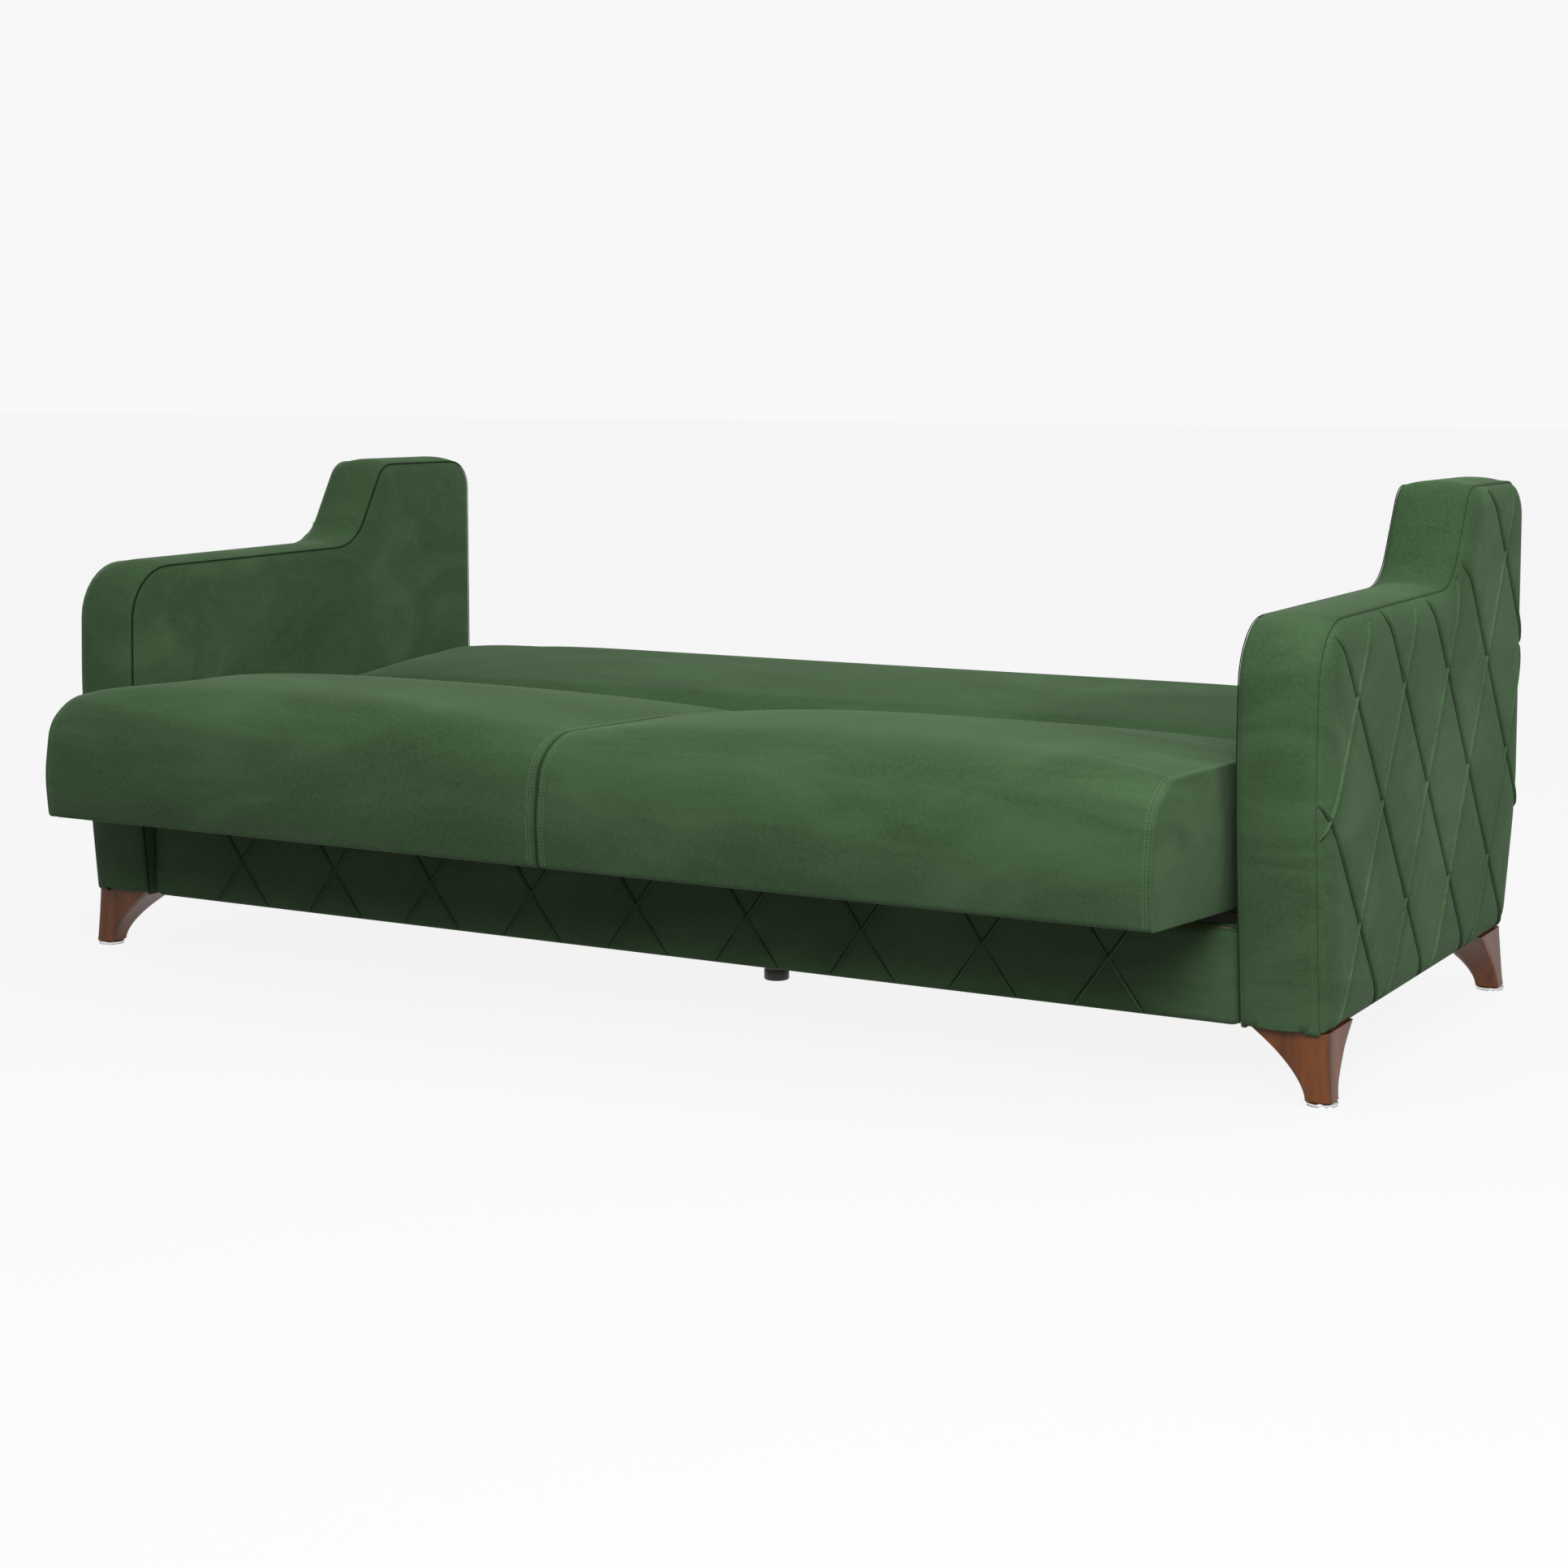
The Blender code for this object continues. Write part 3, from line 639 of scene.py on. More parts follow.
def arm_tucks(quilt, seam_x):
    """Every tuck of one panel, and a dark strip beside each: painted shade of its crevice.
    The second set rides over the first where they cross."""
    strips = []
    crevices = []
    for family, run in enumerate(QUILT_RISE):
        for number in range(-5, 10):
            base = QUILT_START[0] + QUILT_PITCH * number
            rows = np.arange(ARM_BOTTOM + 0.002, WING_TOP, 0.006)
            line = [(base + run * (z - QUILT_START[1]), z) for z in rows]
            stretch = []
            for point in line + [(FAR, FAR)]:
                if quilt.inside(point):
                    stretch.append(point)
                elif stretch:
                    if len(stretch) > 4:
                        points, out, hump = tuck_on_panel(quilt, np.array(stretch), seam_x, family)
                        strips.append(tuck_strip(points, out, hump))
                        aside = math.copysign(CREVICE["aside"], -run)
                        crevices.append(tuck_strip(points, out, None, CREVICE["width"],
                                                   CREVICE["rise"], aside))
                    stretch = []
    return joined(strips), joined(crevices)


def tuck_on_panel(quilt, flat, seam_x, family):
    """A tuck's points on the padded surface, the normals there and its rise at crossings."""
    height = quilt.height(flat)
    step = 0.001
    slope_y = (quilt.height(flat + [step, 0]) - quilt.height(flat - [step, 0])) / (2 * step)
    slope_z = (quilt.height(flat + [0, step]) - quilt.height(flat - [0, step])) / (2 * step)
    out = np.stack([np.ones(len(flat)), -slope_y, -slope_z], 1)
    out /= np.linalg.norm(out, axis=1, keepdims=True)
    gap = quilt.along_y(flat, QUILT_RISE[1 - family])
    hump = family * TUCK_HUMP["rise"] * np.exp(-(gap / TUCK_HUMP["width"]) ** 2)
    points = np.stack([seam_x + height, flat[:, 0], flat[:, 1]], 1)
    return points, out, hump


def seam_line(outline, x, lean):
    """A dark strip down in the seam between an arm's band and a side panel: painted shade of the seam.
    """
    path = np.array([p for p in outline if p[1] > ARM_BOTTOM + 0.002])
    out = normals(path)
    facing = np.array([lean, 0.0, 0.0])
    leaned = np.stack([np.zeros(len(out)), out[:, 0], out[:, 1]], 1) + facing
    leaned /= np.linalg.norm(leaned, axis=1, keepdims=True)
    points = np.stack([np.full(len(path), x), path[:, 0], path[:, 1]], 1)
    return tuck_strip(points, leaned, None, SEAM_LINE["width"], SEAM_LINE["rise"])


def build_arm(label, side, cover, seam, sewing_and_painted_shade):
    """One arm's covers: quilted outer panel, plain inner panel and the band between them."""
    outline = finely(rounded(arm_corners()), OUTER_CELL)
    quilt = Quilt(outline)
    build_outer_panel(label, side, cover, quilt, outline)
    ridges, crevices = arm_tucks(quilt, BAND_X[1])
    # The tucks wear the lighter velvet copy: painted highlight.
    make(f"arm_tucks_{label}", mirrored(ridges, side), seam, "base")
    # Crevice strips and seam lines, all in the darkened velvet: painted shade.
    lines = [crevices, seam_line(outline, BAND_X[0] - 0.0004, -1.0),
             seam_line(outline, BAND_X[1] + 0.0002, 1.0)]
    make(f"arm_painted_shade_lines_{label}", mirrored(joined(lines), side), sewing_and_painted_shade, "base")
    build_inner_panel(label, side, cover, quilt, outline)
    build_band(label, side, cover, outline)


def build_outer_panel(label, side, cover, quilt, outline):
    """The padded outer panel."""
    sheet = panel_sheet(outline, BAND_X[1], OUTER_CELL, SEAM_RIMS)
    flat = np.array([(v.co.y, v.co.z) for v in sheet.verts])
    for vert, height in zip(sheet.verts, quilt.height(flat)):
        vert.co.x += SEAM_GAP if vert.is_boundary else height
    outer = finish_panel(sheet, side, f"arm_outer_cover_{label}", cover, 1)
    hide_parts(f"arm_outer_panel_{label}")


def build_inner_panel(label, side, cover, quilt, outline):
    """The plain inner panel, soft at its seam."""
    sheet = panel_sheet(outline, INNER_X, INNER_CELL, SEAM_RIMS)
    flat = np.array([(v.co.y, v.co.z) for v in sheet.verts])
    edge = np.clip(quilt.from_edge(flat) / INNER_ROLL["width"], 0, 1)
    for vert, near in zip(sheet.verts, edge):
        vert.co.x += INNER_ROLL["depth"] * (1 - near) ** 2.5
    inner = finish_panel(sheet, side, f"arm_inner_cover_{label}", cover, -1)
    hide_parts(f"arm_inner_panel_{label}")


def build_band(label, side, cover, outline):
    """The band: up the front, over the arm rest and the wing, and down the rear."""
    columns, rows = BAND_GRID
    path = [p for p in outline if p[1] > ARM_BOTTOM + 1e-4]
    path = evenly([(outline[0][0], ARM_BOTTOM)] + path + [(outline[-1][0], ARM_BOTTOM)], rows)
    out = normals(path)
    width = BAND_X[1] - BAND_X[0] - SEAM_GAP

    def place(s, t):
        index = round(t * rows)
        across = 0.5 - 0.5 * math.cos(math.pi * s) * (1 - 0.25 * math.sin(math.pi * s) ** 2)
        from_seam = min(across, 1 - across) * width
        roll = SEAM_ROLL * (1 - min(from_seam / SEAM_ROLL, 1)) ** 2
        lift = BAND_CROWN * (1 - abs(2 * across - 1) ** 2.2) - roll
        y, z = path[index] + out[index] * lift
        return Vector((BAND_X[0] + width * across, y, max(z, ARM_BOTTOM)))

    bm = mapped_grid(columns, rows, place)
    bmesh.ops.recalc_face_normals(bm, faces=bm.faces)
    top = max(bm.faces, key=lambda face: face.calc_center_median().z)
    if top.normal.z < 0:
        bmesh.ops.reverse_faces(bm, faces=bm.faces)
    band = make(f"arm_band_cover_{label}", mirrored(bm, side), cover, "base",
                [f"arm_band_{label}"])
    thicken(band)


def finish_panel(sheet, side, name, cover, outward):
    """Turns a sheet's faces outward and gives it its thickness."""
    bmesh.ops.recalc_face_normals(sheet, faces=sheet.faces)
    middle = max(sheet.faces, key=lambda face: face.calc_area())
    if middle.normal.x * outward < 0:
        bmesh.ops.reverse_faces(sheet, faces=sheet.faces)
    piece = make(name, mirrored(sheet, side), cover, "base")
    thicken(piece)
    return piece


# ---- chest panel --------------------------------------------------------------------
def chest_panel_height(x, z):
    """How far the quilted chest panel dips at its tucks."""
    nearest = FAR
    for sign in (-1, 1):
        offset = x - sign * PANEL_RUN * (z - PANEL_CROSSING)
        gap = abs((offset + PANEL_PITCH / 2) % PANEL_PITCH - PANEL_PITCH / 2)
        nearest = min(nearest, gap / math.hypot(1, PANEL_RUN))
    return -PANEL_DIP["depth"] * (1 - min(nearest / PANEL_DIP["width"], 1)) ** 2


def build_chest_panel(cover, seam, sewing_and_painted_shade):
    """The quilted front of the chest, its tucks, and the velvet over the board behind it."""
    low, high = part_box("chest_front_panel")
    columns, rows = PANEL_GRID
    y_front, y_rear = PANEL_FRONT, high.y - SHIFT
    z_low, z_high = low.z, high.z
    corners = [(y_rear, z_high, 0.002), (y_front, z_high, 0.009),
               (y_front - PANEL_BOW, 0.158, 0.4), (y_front, z_low, 0.009), (y_rear, z_low, 0.002)]
    path = evenly(rounded(corners)[ARC_STEPS:-ARC_STEPS], rows)
    out = -normals(path)
    half = high.x

    def place(s, t):
        index = round(t * rows)
        x = (2 * s - 1) * half
        y, z = path[index]
        dip = chest_panel_height(x, z) if y < y_front + 0.004 else 0.0
        end = -PANEL_END["depth"] * (1 - min((half - abs(x)) / PANEL_END["width"], 1)) ** 2
        y, z = path[index] + out[index] * (dip + end)
        return Vector((x, y, z))

    bm = mapped_grid(columns, rows, place)
    bmesh.ops.recalc_face_normals(bm, faces=bm.faces)
    front = min(bm.faces, key=lambda face: face.calc_center_median().y)
    if front.normal.y > 0:
        bmesh.ops.reverse_faces(bm, faces=bm.faces)
    panel = make("chest_panel_cover", bm, cover, "base", ["chest_front_panel"])
    thicken(panel)

    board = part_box("chest_front_board")[1]
    bm = soft_block((-half, y_rear, board.z + 0.0002), (half, board.y - SHIFT, board.z + 0.0022),
                    0.0009)
    wrap = make("chest_front_top_cover", bm, cover, "base")
    build_panel_tucks(y_front, z_low, z_high, half, seam, sewing_and_painted_shade)


def build_panel_tucks(y_front, z_low, z_high, half, seam, sewing_and_painted_shade):
    """The chest panel's tucks in the lighter velvet, a painted highlight, and dark crevice strips
    beside them, painted shade. One set rides over the other where they cross.
    """
    strips = []
    crevices = []
    for sign in (-1, 1):
        for number in range(-4, 5):
            rows = np.arange(z_low + 0.003, z_high - 0.003, 0.005)
            xs = PANEL_PITCH * number + sign * PANEL_RUN * (rows - PANEL_CROSSING)
            keep = np.abs(xs) < half - 0.008
            if keep.sum() < 4:
                continue
            rows, xs = rows[keep], xs[keep]
            y = y_front - PANEL_BOW + PANEL_TUCK_SINK
            points = [(x, y, z) for x, z in zip(xs, rows)]
            near = np.exp(-((rows - PANEL_CROSSING) / TUCK_HUMP["width"]) ** 2)
            hump = max(sign, 0) * TUCK_HUMP["rise"] * near
            out = [(0.0, -1.0, 0.0)] * len(points)
            strips.append(tuck_strip(points, out, hump))
            crevices.append(tuck_strip(points, out, None, CREVICE["width"], CREVICE["rise"],
                                       sign * CREVICE["aside"]))
    make("chest_panel_tucks", joined(strips), seam, "base")
    # The crevice strips are dark velvet: painted shade.
    make("chest_panel_crevices", joined(crevices), sewing_and_painted_shade, "base")


# ---- cushions -----------------------------------------------------------------------
def stations_between(ends):
    """Where a cushion is drawn: close together at its end seams, then every 13 mm."""
    near = [0.0, 0.003, 0.006, 0.011, CUSHION_WALL, CUSHION_WALL + 0.0003, 0.020, 0.028]
    span = ends[1] - ends[0]
    inner = np.linspace(0.040, span - 0.040, round((span - 0.080) / 0.013))
    return [ends[0] + x for x in near] + list(ends[0] + inner) + [ends[1] - x for x in near[::-1]]


def crown_at(x, ends):
    """The crown falls quickly to an outer end and gently to the crease in the middle."""
    across = 2 * (x - ends[0]) / (ends[1] - ends[0]) - 1
    outer = abs(ends[0] if across < 0 else ends[1]) > 0.5
    return 1 - abs(across) ** (7 if outer else 3)


def underside(outline, depth):
    """The underside from rear to front: a lip at each edge, and the hollow for the frame."""
    rear = outline[-1][0] - CUSHION_WALL
    front = outline[0][0] + CUSHION_WALL
    inner = [(y, depth) for y in np.linspace(rear - 0.0003, front + 0.0003, UNDER_STEPS)]
    return np.array([(rear, 0.0)] + inner + [(front, 0.0)])


def cushion_body(corners, ends, around, depth):
    """A closed cushion, drawn round its side view and extruded from end to end."""
    stations = stations_between(ends)
    last = len(stations) - 1
    rings = []
    for x in stations:
        middle = crown_at(x, ends)
        outline = rounded(corners(middle))
        solid = min(x - ends[0], ends[1] - x) < CUSHION_WALL + 0.0001
        under = underside(outline, 0.0 if solid else depth)
        rings.append(np.concatenate([evenly(outline, around), under]))
    around = len(rings[0])

    def place(s, t):
        station = round(s * last)
        y, z = rings[station][round(t * around) % around]
        return Vector((stations[station], y, z))

    bm = mapped_grid(last, around, place)
    bmesh.ops.remove_doubles(bm, verts=bm.verts, dist=1e-6)
    tube = set(bm.faces)
    woven = len(bm.verts)
    rims = [edge for edge in bm.edges if edge.is_boundary]
    caps = bmesh.ops.holes_fill(bm, edges=rims)["faces"]
    for width in CAP_RIMS:
        made = bmesh.ops.inset_individual(bm, faces=caps, thickness=width, use_even_offset=True)
        tube.update(made["faces"])
    dice(bm, tube, CAP_CELL)
    for vert in list(bm.verts)[woven:]:
        if abs(vert.co.x) > 0.5:
            reach = math.sin(math.pi * min(max(vert.co.y / END_PUFF_REACH, 0), 1))
            rise = math.sin(math.pi * min(max(vert.co.z / 0.19, 0), 1))
            vert.co.x += math.copysign(END_PUFF * (reach * rise) ** 0.7, vert.co.x)
    bmesh.ops.recalc_face_normals(bm, faces=bm.faces)
    return bm, woven


def in_hollow(place, ends, depth):
    """Whether a point belongs to the lip or the walls of the hollow."""
    inside = ends[0] + 0.001 < place[0] < ends[1] - 0.001
    return inside and place[2] < depth + 0.001 and place[1] > CUSHION_WALL * 0.9


def swell(bm, name, ends, woven, depth, cap):
    """Fills a cushion by a short cloth simulation. Its end seams and its underside stay put."""
    mesh = bpy.data.meshes.new(name)
    bm.to_mesh(mesh)
    rest = np.array([v.co for v in mesh.vertices])
    scene = bpy.context.scene
    piece = bpy.data.objects.new(name, mesh)
    scene.collection.objects.link(piece)
    held = piece.vertex_groups.new(name="held")
    rear = rest[:, 1].max() - CUSHION_WALL * 0.9
    for index, place in enumerate(rest):
        seam = index < woven and min(abs(place[0] - end) for end in ends) < 1e-4
        framed = in_hollow(place, ends, depth) and place[1] < rear
        if seam or framed or place[2] < 0.012:
            held.add([index], 1.0, "REPLACE")
    cloth = piece.modifiers.new("filling", "CLOTH")
    settings = cloth.settings
    settings.quality = 5
    settings.use_pressure = True
    settings.uniform_pressure_force = 4.0
    settings.tension_stiffness = 25
    settings.compression_stiffness = 25
    settings.shear_stiffness = 12
    settings.bending_stiffness = 0.8
    settings.vertex_group_mass = "held"
    settings.effector_weights.gravity = 0.0
    for number in range(1, CLOTH_STEPS + 1):
        scene.frame_set(number)
    depsgraph = bpy.context.evaluated_depsgraph_get()
    moved = np.array([v.co for v in piece.evaluated_get(depsgraph).to_mesh().vertices])
    shift = moved - rest
    length = np.linalg.norm(shift, axis=1, keepdims=True)
    limit = cap * (1 - np.exp(-length / cap))
    moved = rest + shift * limit / np.maximum(length, 1e-9)
    bpy.data.objects.remove(piece)
    bpy.data.meshes.remove(mesh)
    scene.frame_set(1)
    for vert, place in zip(bm.verts, moved):
        vert.co = place
    return bm


def sew_down(bm, ends, woven):
    """Presses the cushion in along its two rows of top stitching, and returns the rows."""
    bm.normal_update()
    rows = {}
    for vert in list(bm.verts)[:woven]:
        for end in ends:
            for inset in STITCH_INSETS:
                if abs(abs(vert.co.x - end) - inset) < 0.0012:
                    rows.setdefault((end, inset), []).append(vert)
    for verts in rows.values():
        for vert in verts:
            vert.co -= vert.normal * STITCH_SINK
    return rows


def stitch_line(points, bm):
    """A row of thread stitches along 3D points."""
    path = np.array(points)
    steps = np.linalg.norm(np.diff(path, axis=0), axis=1)
    run = np.concatenate([[0.0], np.cumsum(steps)])
    marks = np.arange(0.003, run[-1] - 0.003, STITCH_PITCH)
    spots = np.stack([np.interp(marks, run, path[:, axis]) for axis in range(3)], 1)
    ahead = np.stack([np.interp(marks + 0.001, run, path[:, axis]) for axis in range(3)], 1)
    for spot, tip in zip(spots, ahead):
        turn = Vector(tip - spot).to_track_quat("X", "Z").to_matrix().to_4x4()
        size = Matrix.Diagonal((*STITCH_SIZE, 1.0))
        matrix = Matrix.Translation(spot) @ turn @ size
        bmesh.ops.create_icosphere(bm, subdivisions=1, radius=1.0, matrix=matrix)


def crisp_hollow(bm, ends, depth):
    """Keeps the hollow's walls flat when the cushion is smoothed."""
    crease = bm.edges.layers.float.new("crease_edge")
    rear = max(vert.co.y for vert in bm.verts) - CUSHION_WALL * 0.9
    for edge in bm.edges:
        if all(in_hollow(v.co, ends, depth) and v.co.y < rear for v in edge.verts):
            edge[crease] = 1.0


def sloped(bm, front, slope):
    """Turns a cushion from its own frame to its slope, with its lower front edge at front."""
    turn = Matrix.Translation((0, front[0], front[1])) @ Matrix.Rotation(slope, 4, "X")
    bmesh.ops.transform(bm, matrix=turn, verts=bm.verts)
    return bm


def build_cushion(name, corners, ends, filling, place, hollow, body, node, covers):
    """One cushion and its top stitching. place is its lower front edge and its slope."""
    front, slope = place
    cover, sewing_and_painted_shade = covers
    bm, woven = cushion_body(corners, ends, filling["around"], hollow)
    bm = swell(bm, name, ends, woven, hollow, filling["cap"])
    stitches = bmesh.new()
    for verts in sew_down(bm, ends, woven).values():
        above = [vert.co.copy() for vert in verts if vert.co.z > 0.004]
        start = max(range(len(above)), key=lambda i: (above[i] - above[i - 1]).length)
        stitch_line(above[start:] + above[:start], stitches)
    crisp_hollow(bm, ends, hollow)
    piece = make(name, sloped(bm, front, slope), cover, body, [node], 50.0)
    refine(piece)
    make(f"{name}_stitches", sloped(stitches, front, slope), sewing_and_painted_shade, body)


def build_cushions(cover, sewing_and_painted_shade):
    """The two seat cushions and the long back cushion."""
    covers = (cover, sewing_and_painted_shade)
    spans = {"left": (-SEAT_HALF, -CREASE_GAP), "right": (CREASE_GAP, SEAT_HALF)}
    for label, ends in spans.items():
        build_cushion(f"seat_cover_{label}", seat_corners, ends, SEAT_FILLING,
                      (SEAT_FRONT, -SEAT_SLOPE), SEAT_HOLLOW, "seat", f"seat_cushion_{label}", covers)
    build_cushion("back_cover", back_corners, (-SEAT_HALF, SEAT_HALF), BACK_FILLING,
                  (BACK_FRONT, BACK_SLOPE), BACK_HOLLOW, "back", "back_cushion", covers)


# ---- legs and small parts -----------------------------------------------------------
def build_leg(name, side, glide_y, outward, wood, bright):
    """A flared leg, lofted from its foot to the chest, on a chrome glide."""
    low, high = (corner.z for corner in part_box(f"leg_{name}"))
    around, levels = LEG_GRID

    def place(s, t):
        flare = t ** 1.65
        x_in = 1.041 - 0.079 * flare
        x_out = 1.078 - 0.007 * t ** 0.7
        y_in = -0.019 - 0.075 * flare
        y_out = 0.020 - 0.003 * t
        inner = 0.006 + 0.026 * flare
        corners = [(x_in, y_in, inner), (x_in, y_out, 0.006), (x_out, y_out, 0.010),
                   (x_out, y_in, 0.006)]
        ring = evenly(rounded(corners), around, closed=True)
        x, y = ring[round(s * around) % around]
        return Vector((x, glide_y + outward * y, low + t * (high - low)))

    bm = mapped_grid(around, levels, place)
    bmesh.ops.remove_doubles(bm, verts=bm.verts, dist=1e-6)
    bmesh.ops.holes_fill(bm, edges=[e for e in bm.edges if e.is_boundary], sides=around)
    bmesh.ops.recalc_face_normals(bm, faces=bm.faces)
    make(f"turned_leg_{name}", mirrored(bm, side), wood, "base", [f"leg_{name}"], 40.0)

    profile = [(0.0180, 0.0000), (0.0198, 0.0004), (0.0206, 0.0014), (0.0200, 0.0026),
               (0.0190, 0.0032), (0.0214, 0.0040), (0.0215, 0.0052), (0.0206, 0.0062),
               (0.0185, 0.0075)]
    glide = turned(profile, (side * GLIDE_X, glide_y))
    make(f"glide_cap_{name}", glide, bright, "base", [f"glide_{name}"], 40.0)


def about(axis, place):
    """The turn and move that stand a turned piece on a point, along an axis."""
    return Matrix.Translation(place) @ Vector(axis).to_track_quat("Z", "Y").to_matrix().to_4x4()


def stood(profile, axis, place):
    """A small turned piece, stood on a point along an axis."""
    bm = turned(profile, (0, 0), 24)
    bmesh.ops.transform(bm, matrix=about(axis, place), verts=bm.verts)
    return bm


def build_leg_screws(label, side, dark):
    """One countersunk screw in the inner flare of each leg."""
    countersunk = [(0.0050, -0.0030), (0.0050, -0.0002), (0.0048, 0.0006), (0.0040, 0.0004),
                   (0.0030, -0.0010), (0.0022, -0.0015)]
    x, inward, z = LEG_SCREW
    screws = []
    for _, glide_y, outward in LEGS:
        place = (side * x, SHIFT + glide_y - outward * inward, z)
        axis = (0.0, -outward * LEG_SCREW_LEAN[0], LEG_SCREW_LEAN[1])
        screws.append(stood(countersunk, axis, place))
    make(f"leg_screws_{label}", joined(screws), dark, "base", shift=False)


def bolts_along(rail, shares, z, fall):
    """Bolt places on a rail, at these shares of its length. The row falls towards its end."""
    low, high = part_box(rail)
    return [(low.y + share * (high.y - low.y), z - share * fall) for share in shares]


def build_bolt_heads(label, side, steel):
    """Heads of the bolts that hold the fold-out fitting, on the inside of the boards."""
    head = [(0.0068, 0.0000), (0.0068, 0.0006), (0.0058, 0.0016), (0.0034, 0.0024)]
    low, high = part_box(f"base_bracket_{label}")
    rows = {
        ("base", "chest_side_board"): [(y, 0.172) for y in (low.y + 0.035, (low.y + high.y) / 2,
                                                            high.y - 0.035)],
        ("seat", "seat_side_rail"): bolts_along(f"seat_side_rail_{label}", (0.30, 0.70), 0.290, 0.035),
        ("back", "back_side_rail"): bolts_along(f"back_side_rail_{label}", (0.20, 0.55), 0.292, -0.030),
    }
    for (body, board), places in rows.items():
        low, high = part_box(f"{board}_{label}")
        x = (low.x if side > 0 else high.x) - side * BOLT_PROUD
        heads = [stood(head, (-side, 0, 0), (x, y, z)) for y, z in places]
        make(f"{body}_bolt_heads_{label}", joined(heads), steel, body, shift=False)


def build_centre_leg(plastic):
    """The black leg under the middle of the chest, with a flange at its top."""
    low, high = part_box("centre_leg")
    centre = ((low.x + high.x) / 2, (low.y + high.y) / 2 - SHIFT)
    flange = (high.x - low.x) / 2
    profile = [(0.0180, 0.0), (0.0196, 0.0010), (0.0200, 0.0030), (0.0200, 0.0160),
               (0.0192, 0.0175), (0.0200, 0.0190), (0.0200, 0.0880), (0.0212, 0.0930),
               (flange - 0.001, 0.0975), (flange, 0.0990), (flange, high.z)]
    make("centre_leg_turned", turned(profile, centre), plastic, "base",
         ["centre_leg"], 40.0)


def build_rear_cover(cover):
    """Plain velvet over the chest's rear board, turned over its top edge."""
    low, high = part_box("chest_rear_board")
    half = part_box("chest_front_panel")[1].x
    bm = soft_block((-half, high.y - SHIFT + 0.0002, low.z - 0.001),
                    (half, high.y - SHIFT + 0.0030, high.z + 0.0030), 0.0013)
    top = soft_block((-half, low.y - SHIFT, high.z + 0.0003),
                     (half, high.y - SHIFT + 0.0010, high.z + 0.0028), 0.0011)
    piece = make("chest_rear_cover", joined([bm, top]), cover, "base")


def dress_nodes():
    """Better finishes for the carried-over frame, chest and fittings."""
    pine_tones = ((0.62, 0.43, 0.24), (0.44, 0.26, 0.12))
    pine = softwood("planed_pine", *pine_tones, (0.06, 1.0, 1.0))
    pine_deep = softwood("planed_pine_sides", *pine_tones, (1.0, 0.06, 1.0))
    ply = softwood("plywood", (0.58, 0.42, 0.25), (0.46, 0.30, 0.16), (1.0, 0.10, 1.0))
    board = hardboard()
    steel = painted_steel()
    rubber = moulded("black_rubber", (0.012, 0.012, 0.012), 0.75, 400.0)
    cloth = lining()
    rules = [
        (("chest_front_board", "chest_rear_board", "front_rail", "rear_rail"), pine),
        (("chest_side_board", "chest_cross_beam", "side_rail", "arm_core"), pine_deep),
        (("_deck",), ply),
        (("chest_floor_board",), board),
        (("arm_bolt", "base_bracket", "swing_link", "carriage_plate", "hinge_pin", "seat_arm",
          "back_arm"), steel),
        (("seat_rest",), rubber),
        (("dust_cover",), cloth),
    ]
    for name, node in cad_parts.items():
        for keys, material in rules:
            if any(key in name for key in keys):
                node.data.materials.clear()
                node.data.materials.append(material)


# ---- studio -------------------------------------------------------------------------
def area_light(name, place, target, size, power):
    """A white studio panel that faces a target."""
    data = bpy.data.lights.new(name, "AREA")
    data.shape = "RECTANGLE"
    data.size, data.size_y = size
    data.energy = power
    lamp = bpy.data.objects.new(name, data)
    lamp.location = place
    lamp.rotation_euler = (Vector(target) - Vector(place)).to_track_quat("-Z", "Y").to_euler()
    bpy.context.scene.collection.objects.link(lamp)


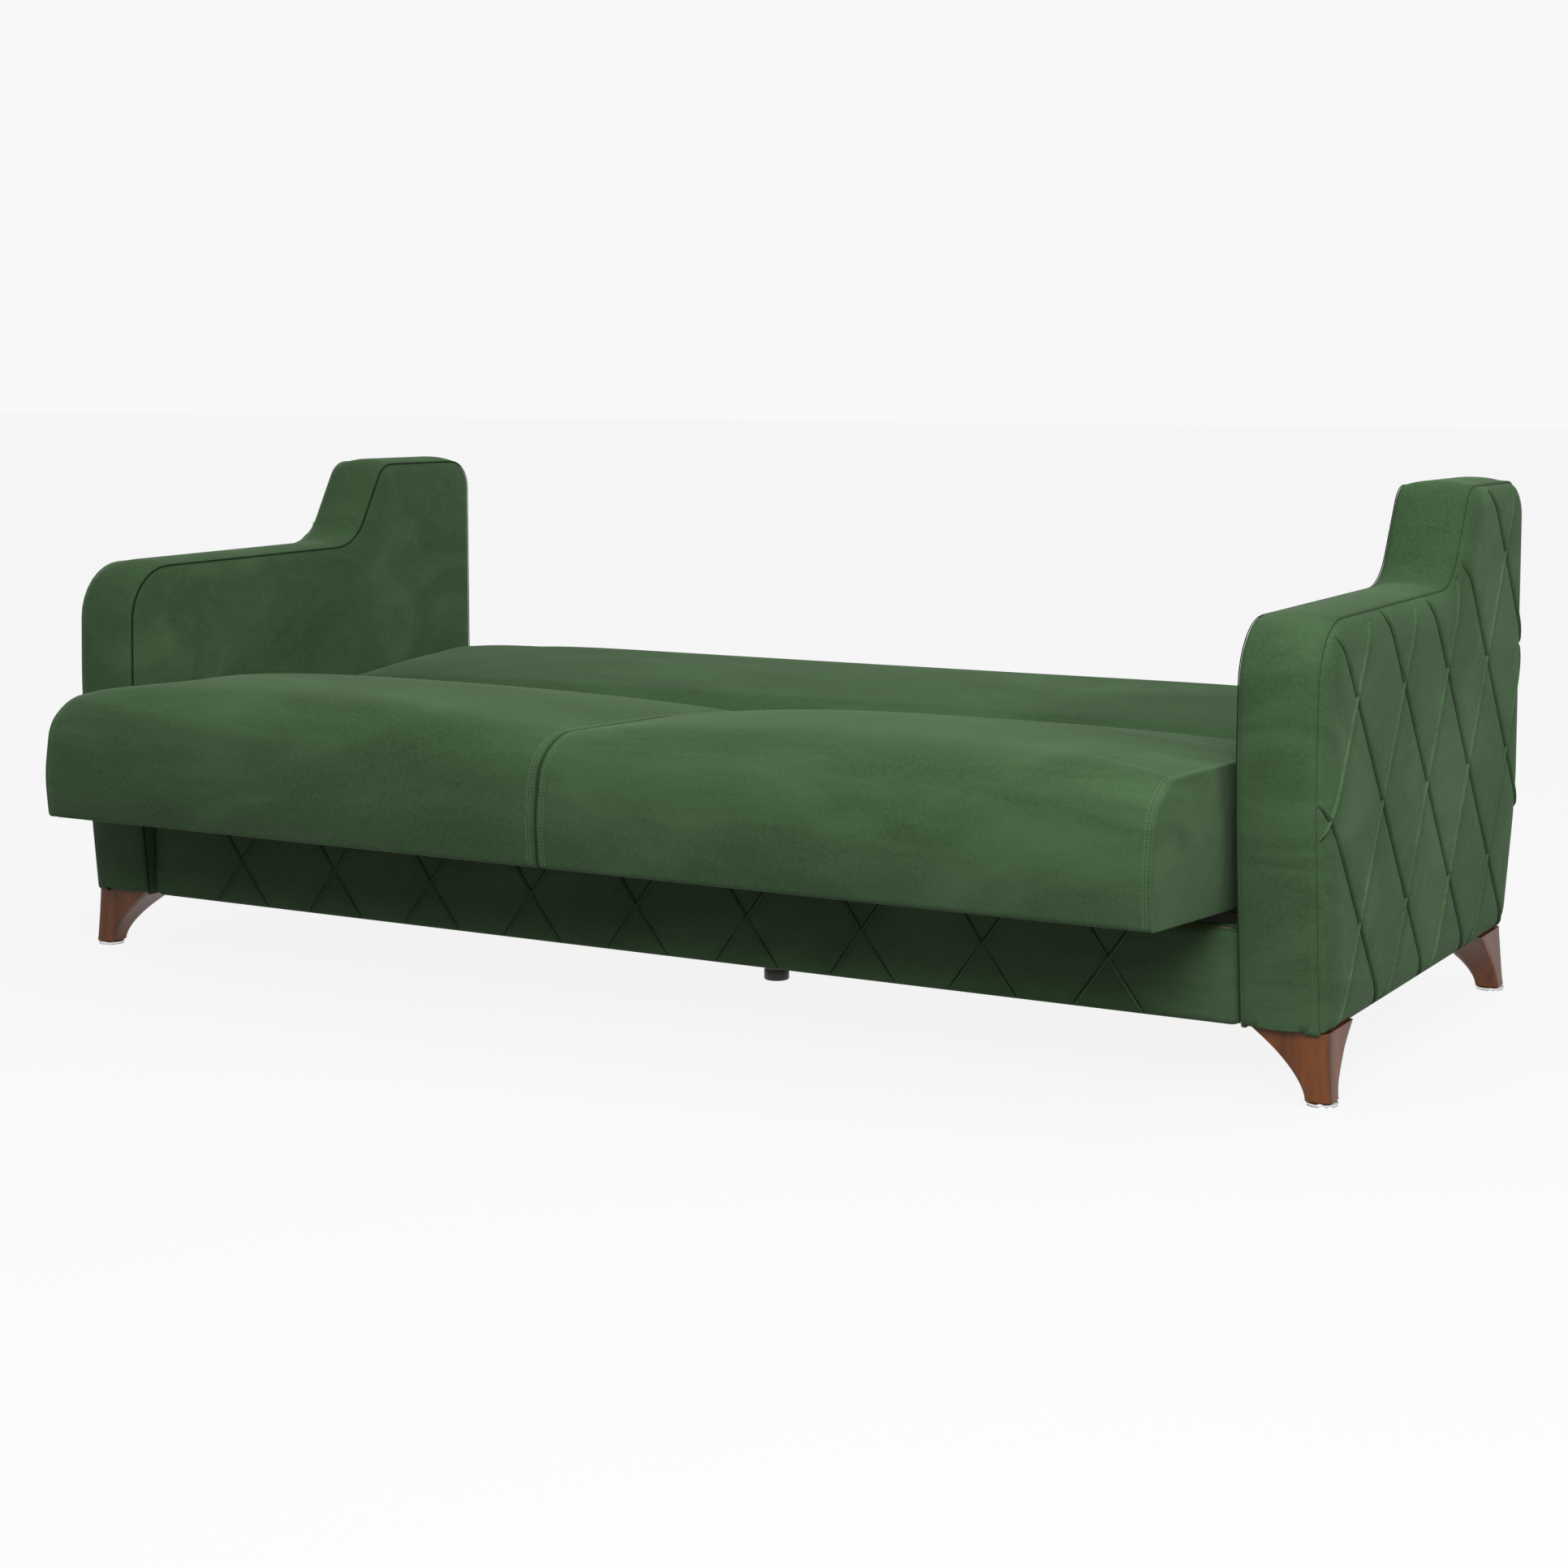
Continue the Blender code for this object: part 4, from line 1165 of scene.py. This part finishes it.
def build_world():
    """An even white room: the camera sees it plain, and it lights the sofa from above."""
    world = bpy.data.worlds.new("studio")
    world.use_nodes = True
    tree = world.node_tree
    white = tree.nodes["Background"]
    white.inputs["Color"].default_value = (1.0, 1.0, 1.0, 1.0)
    white.inputs["Strength"].default_value = PAPER_WHITE
    soft = tree.nodes.new("ShaderNodeBackground")
    soft.inputs["Strength"].default_value = 1.0
    ramp = tree.nodes.new("ShaderNodeValToRGB")
    set_stops(ramp, [(0.0, (0.10, 0.10, 0.10)), (0.45, (0.16, 0.16, 0.16)),
                     (0.60, (0.42, 0.42, 0.42)), (1.0, (0.50, 0.50, 0.50))])
    height = tree.nodes.new("ShaderNodeSeparateXYZ")
    half = tree.nodes.new("ShaderNodeMath")
    half.operation = "MULTIPLY_ADD"
    half.inputs[1].default_value = 0.5
    half.inputs[2].default_value = 0.5
    source = tree.nodes.new("ShaderNodeTexCoord")
    rays = tree.nodes.new("ShaderNodeLightPath")
    both = tree.nodes.new("ShaderNodeMixShader")
    link = tree.links.new
    link(source.outputs["Generated"], height.inputs[0])
    link(height.outputs["Z"], half.inputs[0])
    link(half.outputs[0], ramp.inputs[0])
    link(ramp.outputs["Color"], soft.inputs["Color"])
    link(rays.outputs["Is Camera Ray"], both.inputs[0])
    link(soft.outputs[0], both.inputs[1])
    link(white.outputs[0], both.inputs[2])
    link(both.outputs[0], tree.nodes["World Output"].inputs["Surface"])
    bpy.context.scene.world = world


def build_floor():
    """The white floor, which shows only what falls on it."""
    bm = bmesh.new()
    bmesh.ops.create_grid(bm, x_segments=1, y_segments=1, size=40.0)
    mesh = bpy.data.meshes.new("studio_floor")
    bm.to_mesh(mesh)
    bm.free()
    mesh.materials.append(white_paper())
    floor = bpy.data.objects.new("studio_floor", mesh)
    floor.location.z = -0.0005
    floor.visible_diffuse = False
    bpy.context.scene.collection.objects.link(floor)


def build_studio():
    """White room and floor, three lights and the camera."""
    scene = bpy.context.scene
    scene.view_settings.view_transform = "Standard"
    build_world()
    build_floor()
    area_light("key", (1.9, -3.2, 2.4), (0.4, 0, 0.4), (2.0, 1.4), 97)
    area_light("side", (4.2, -0.6, 1.7), (0.6, 0, 0.3), (1.6, 1.4), 30)
    area_light("overhead", (0.6, 0.2, 3.4), (0.3, 0, 0.3), (3.0, 2.2), 24)

    data = bpy.data.cameras.new("camera")
    data.sensor_width = 36.0
    data.lens = CAMERA_LENS
    data.shift_y = CAMERA_SHIFT_Y
    camera = bpy.data.objects.new("camera", data)
    camera.location = CAMERA_PLACE
    camera.rotation_euler = (math.radians(90 + CAMERA_PITCH), 0, math.radians(CAMERA_YAW))
    scene.collection.objects.link(camera)
    scene.camera = camera


def build():
    """Every piece of the sofa, and the studio round it."""
    cover = velvet("green_velvet")
    # The tucks get a copy of the velvet a quarter lighter: painted highlight on the ridges.
    seam = velvet("green_velvet_tucks_painted_highlight", 1.25)
    wood = walnut()
    bright = chrome()
    # A velvet copy darkened to a fifth: painted shade for the crevices beside the tucks and for the
    # seam lines of the arms.
    sewing_and_painted_shade = velvet("green_crevices_painted_shade", 0.22)
    build_cushions(cover, thread())
    build_studio()
    dress_nodes()
    plastic = moulded("moulded_black", (0.010, 0.010, 0.010), 0.42, 700.0)
    build_centre_leg(plastic)
    steel = painted_steel()
    for label, side in SIDES:
        build_leg_screws(label, side, plastic)
        build_bolt_heads(label, side, steel)
    build_rear_cover(cover)
    build_chest_panel(cover, seam, sewing_and_painted_shade)
    for label, side in SIDES:
        build_arm(label, side, cover, seam, sewing_and_painted_shade)
        for end, glide_y, outward in LEGS:
            build_leg(f"{end}_{label}", side, glide_y, outward, wood, bright)


build()
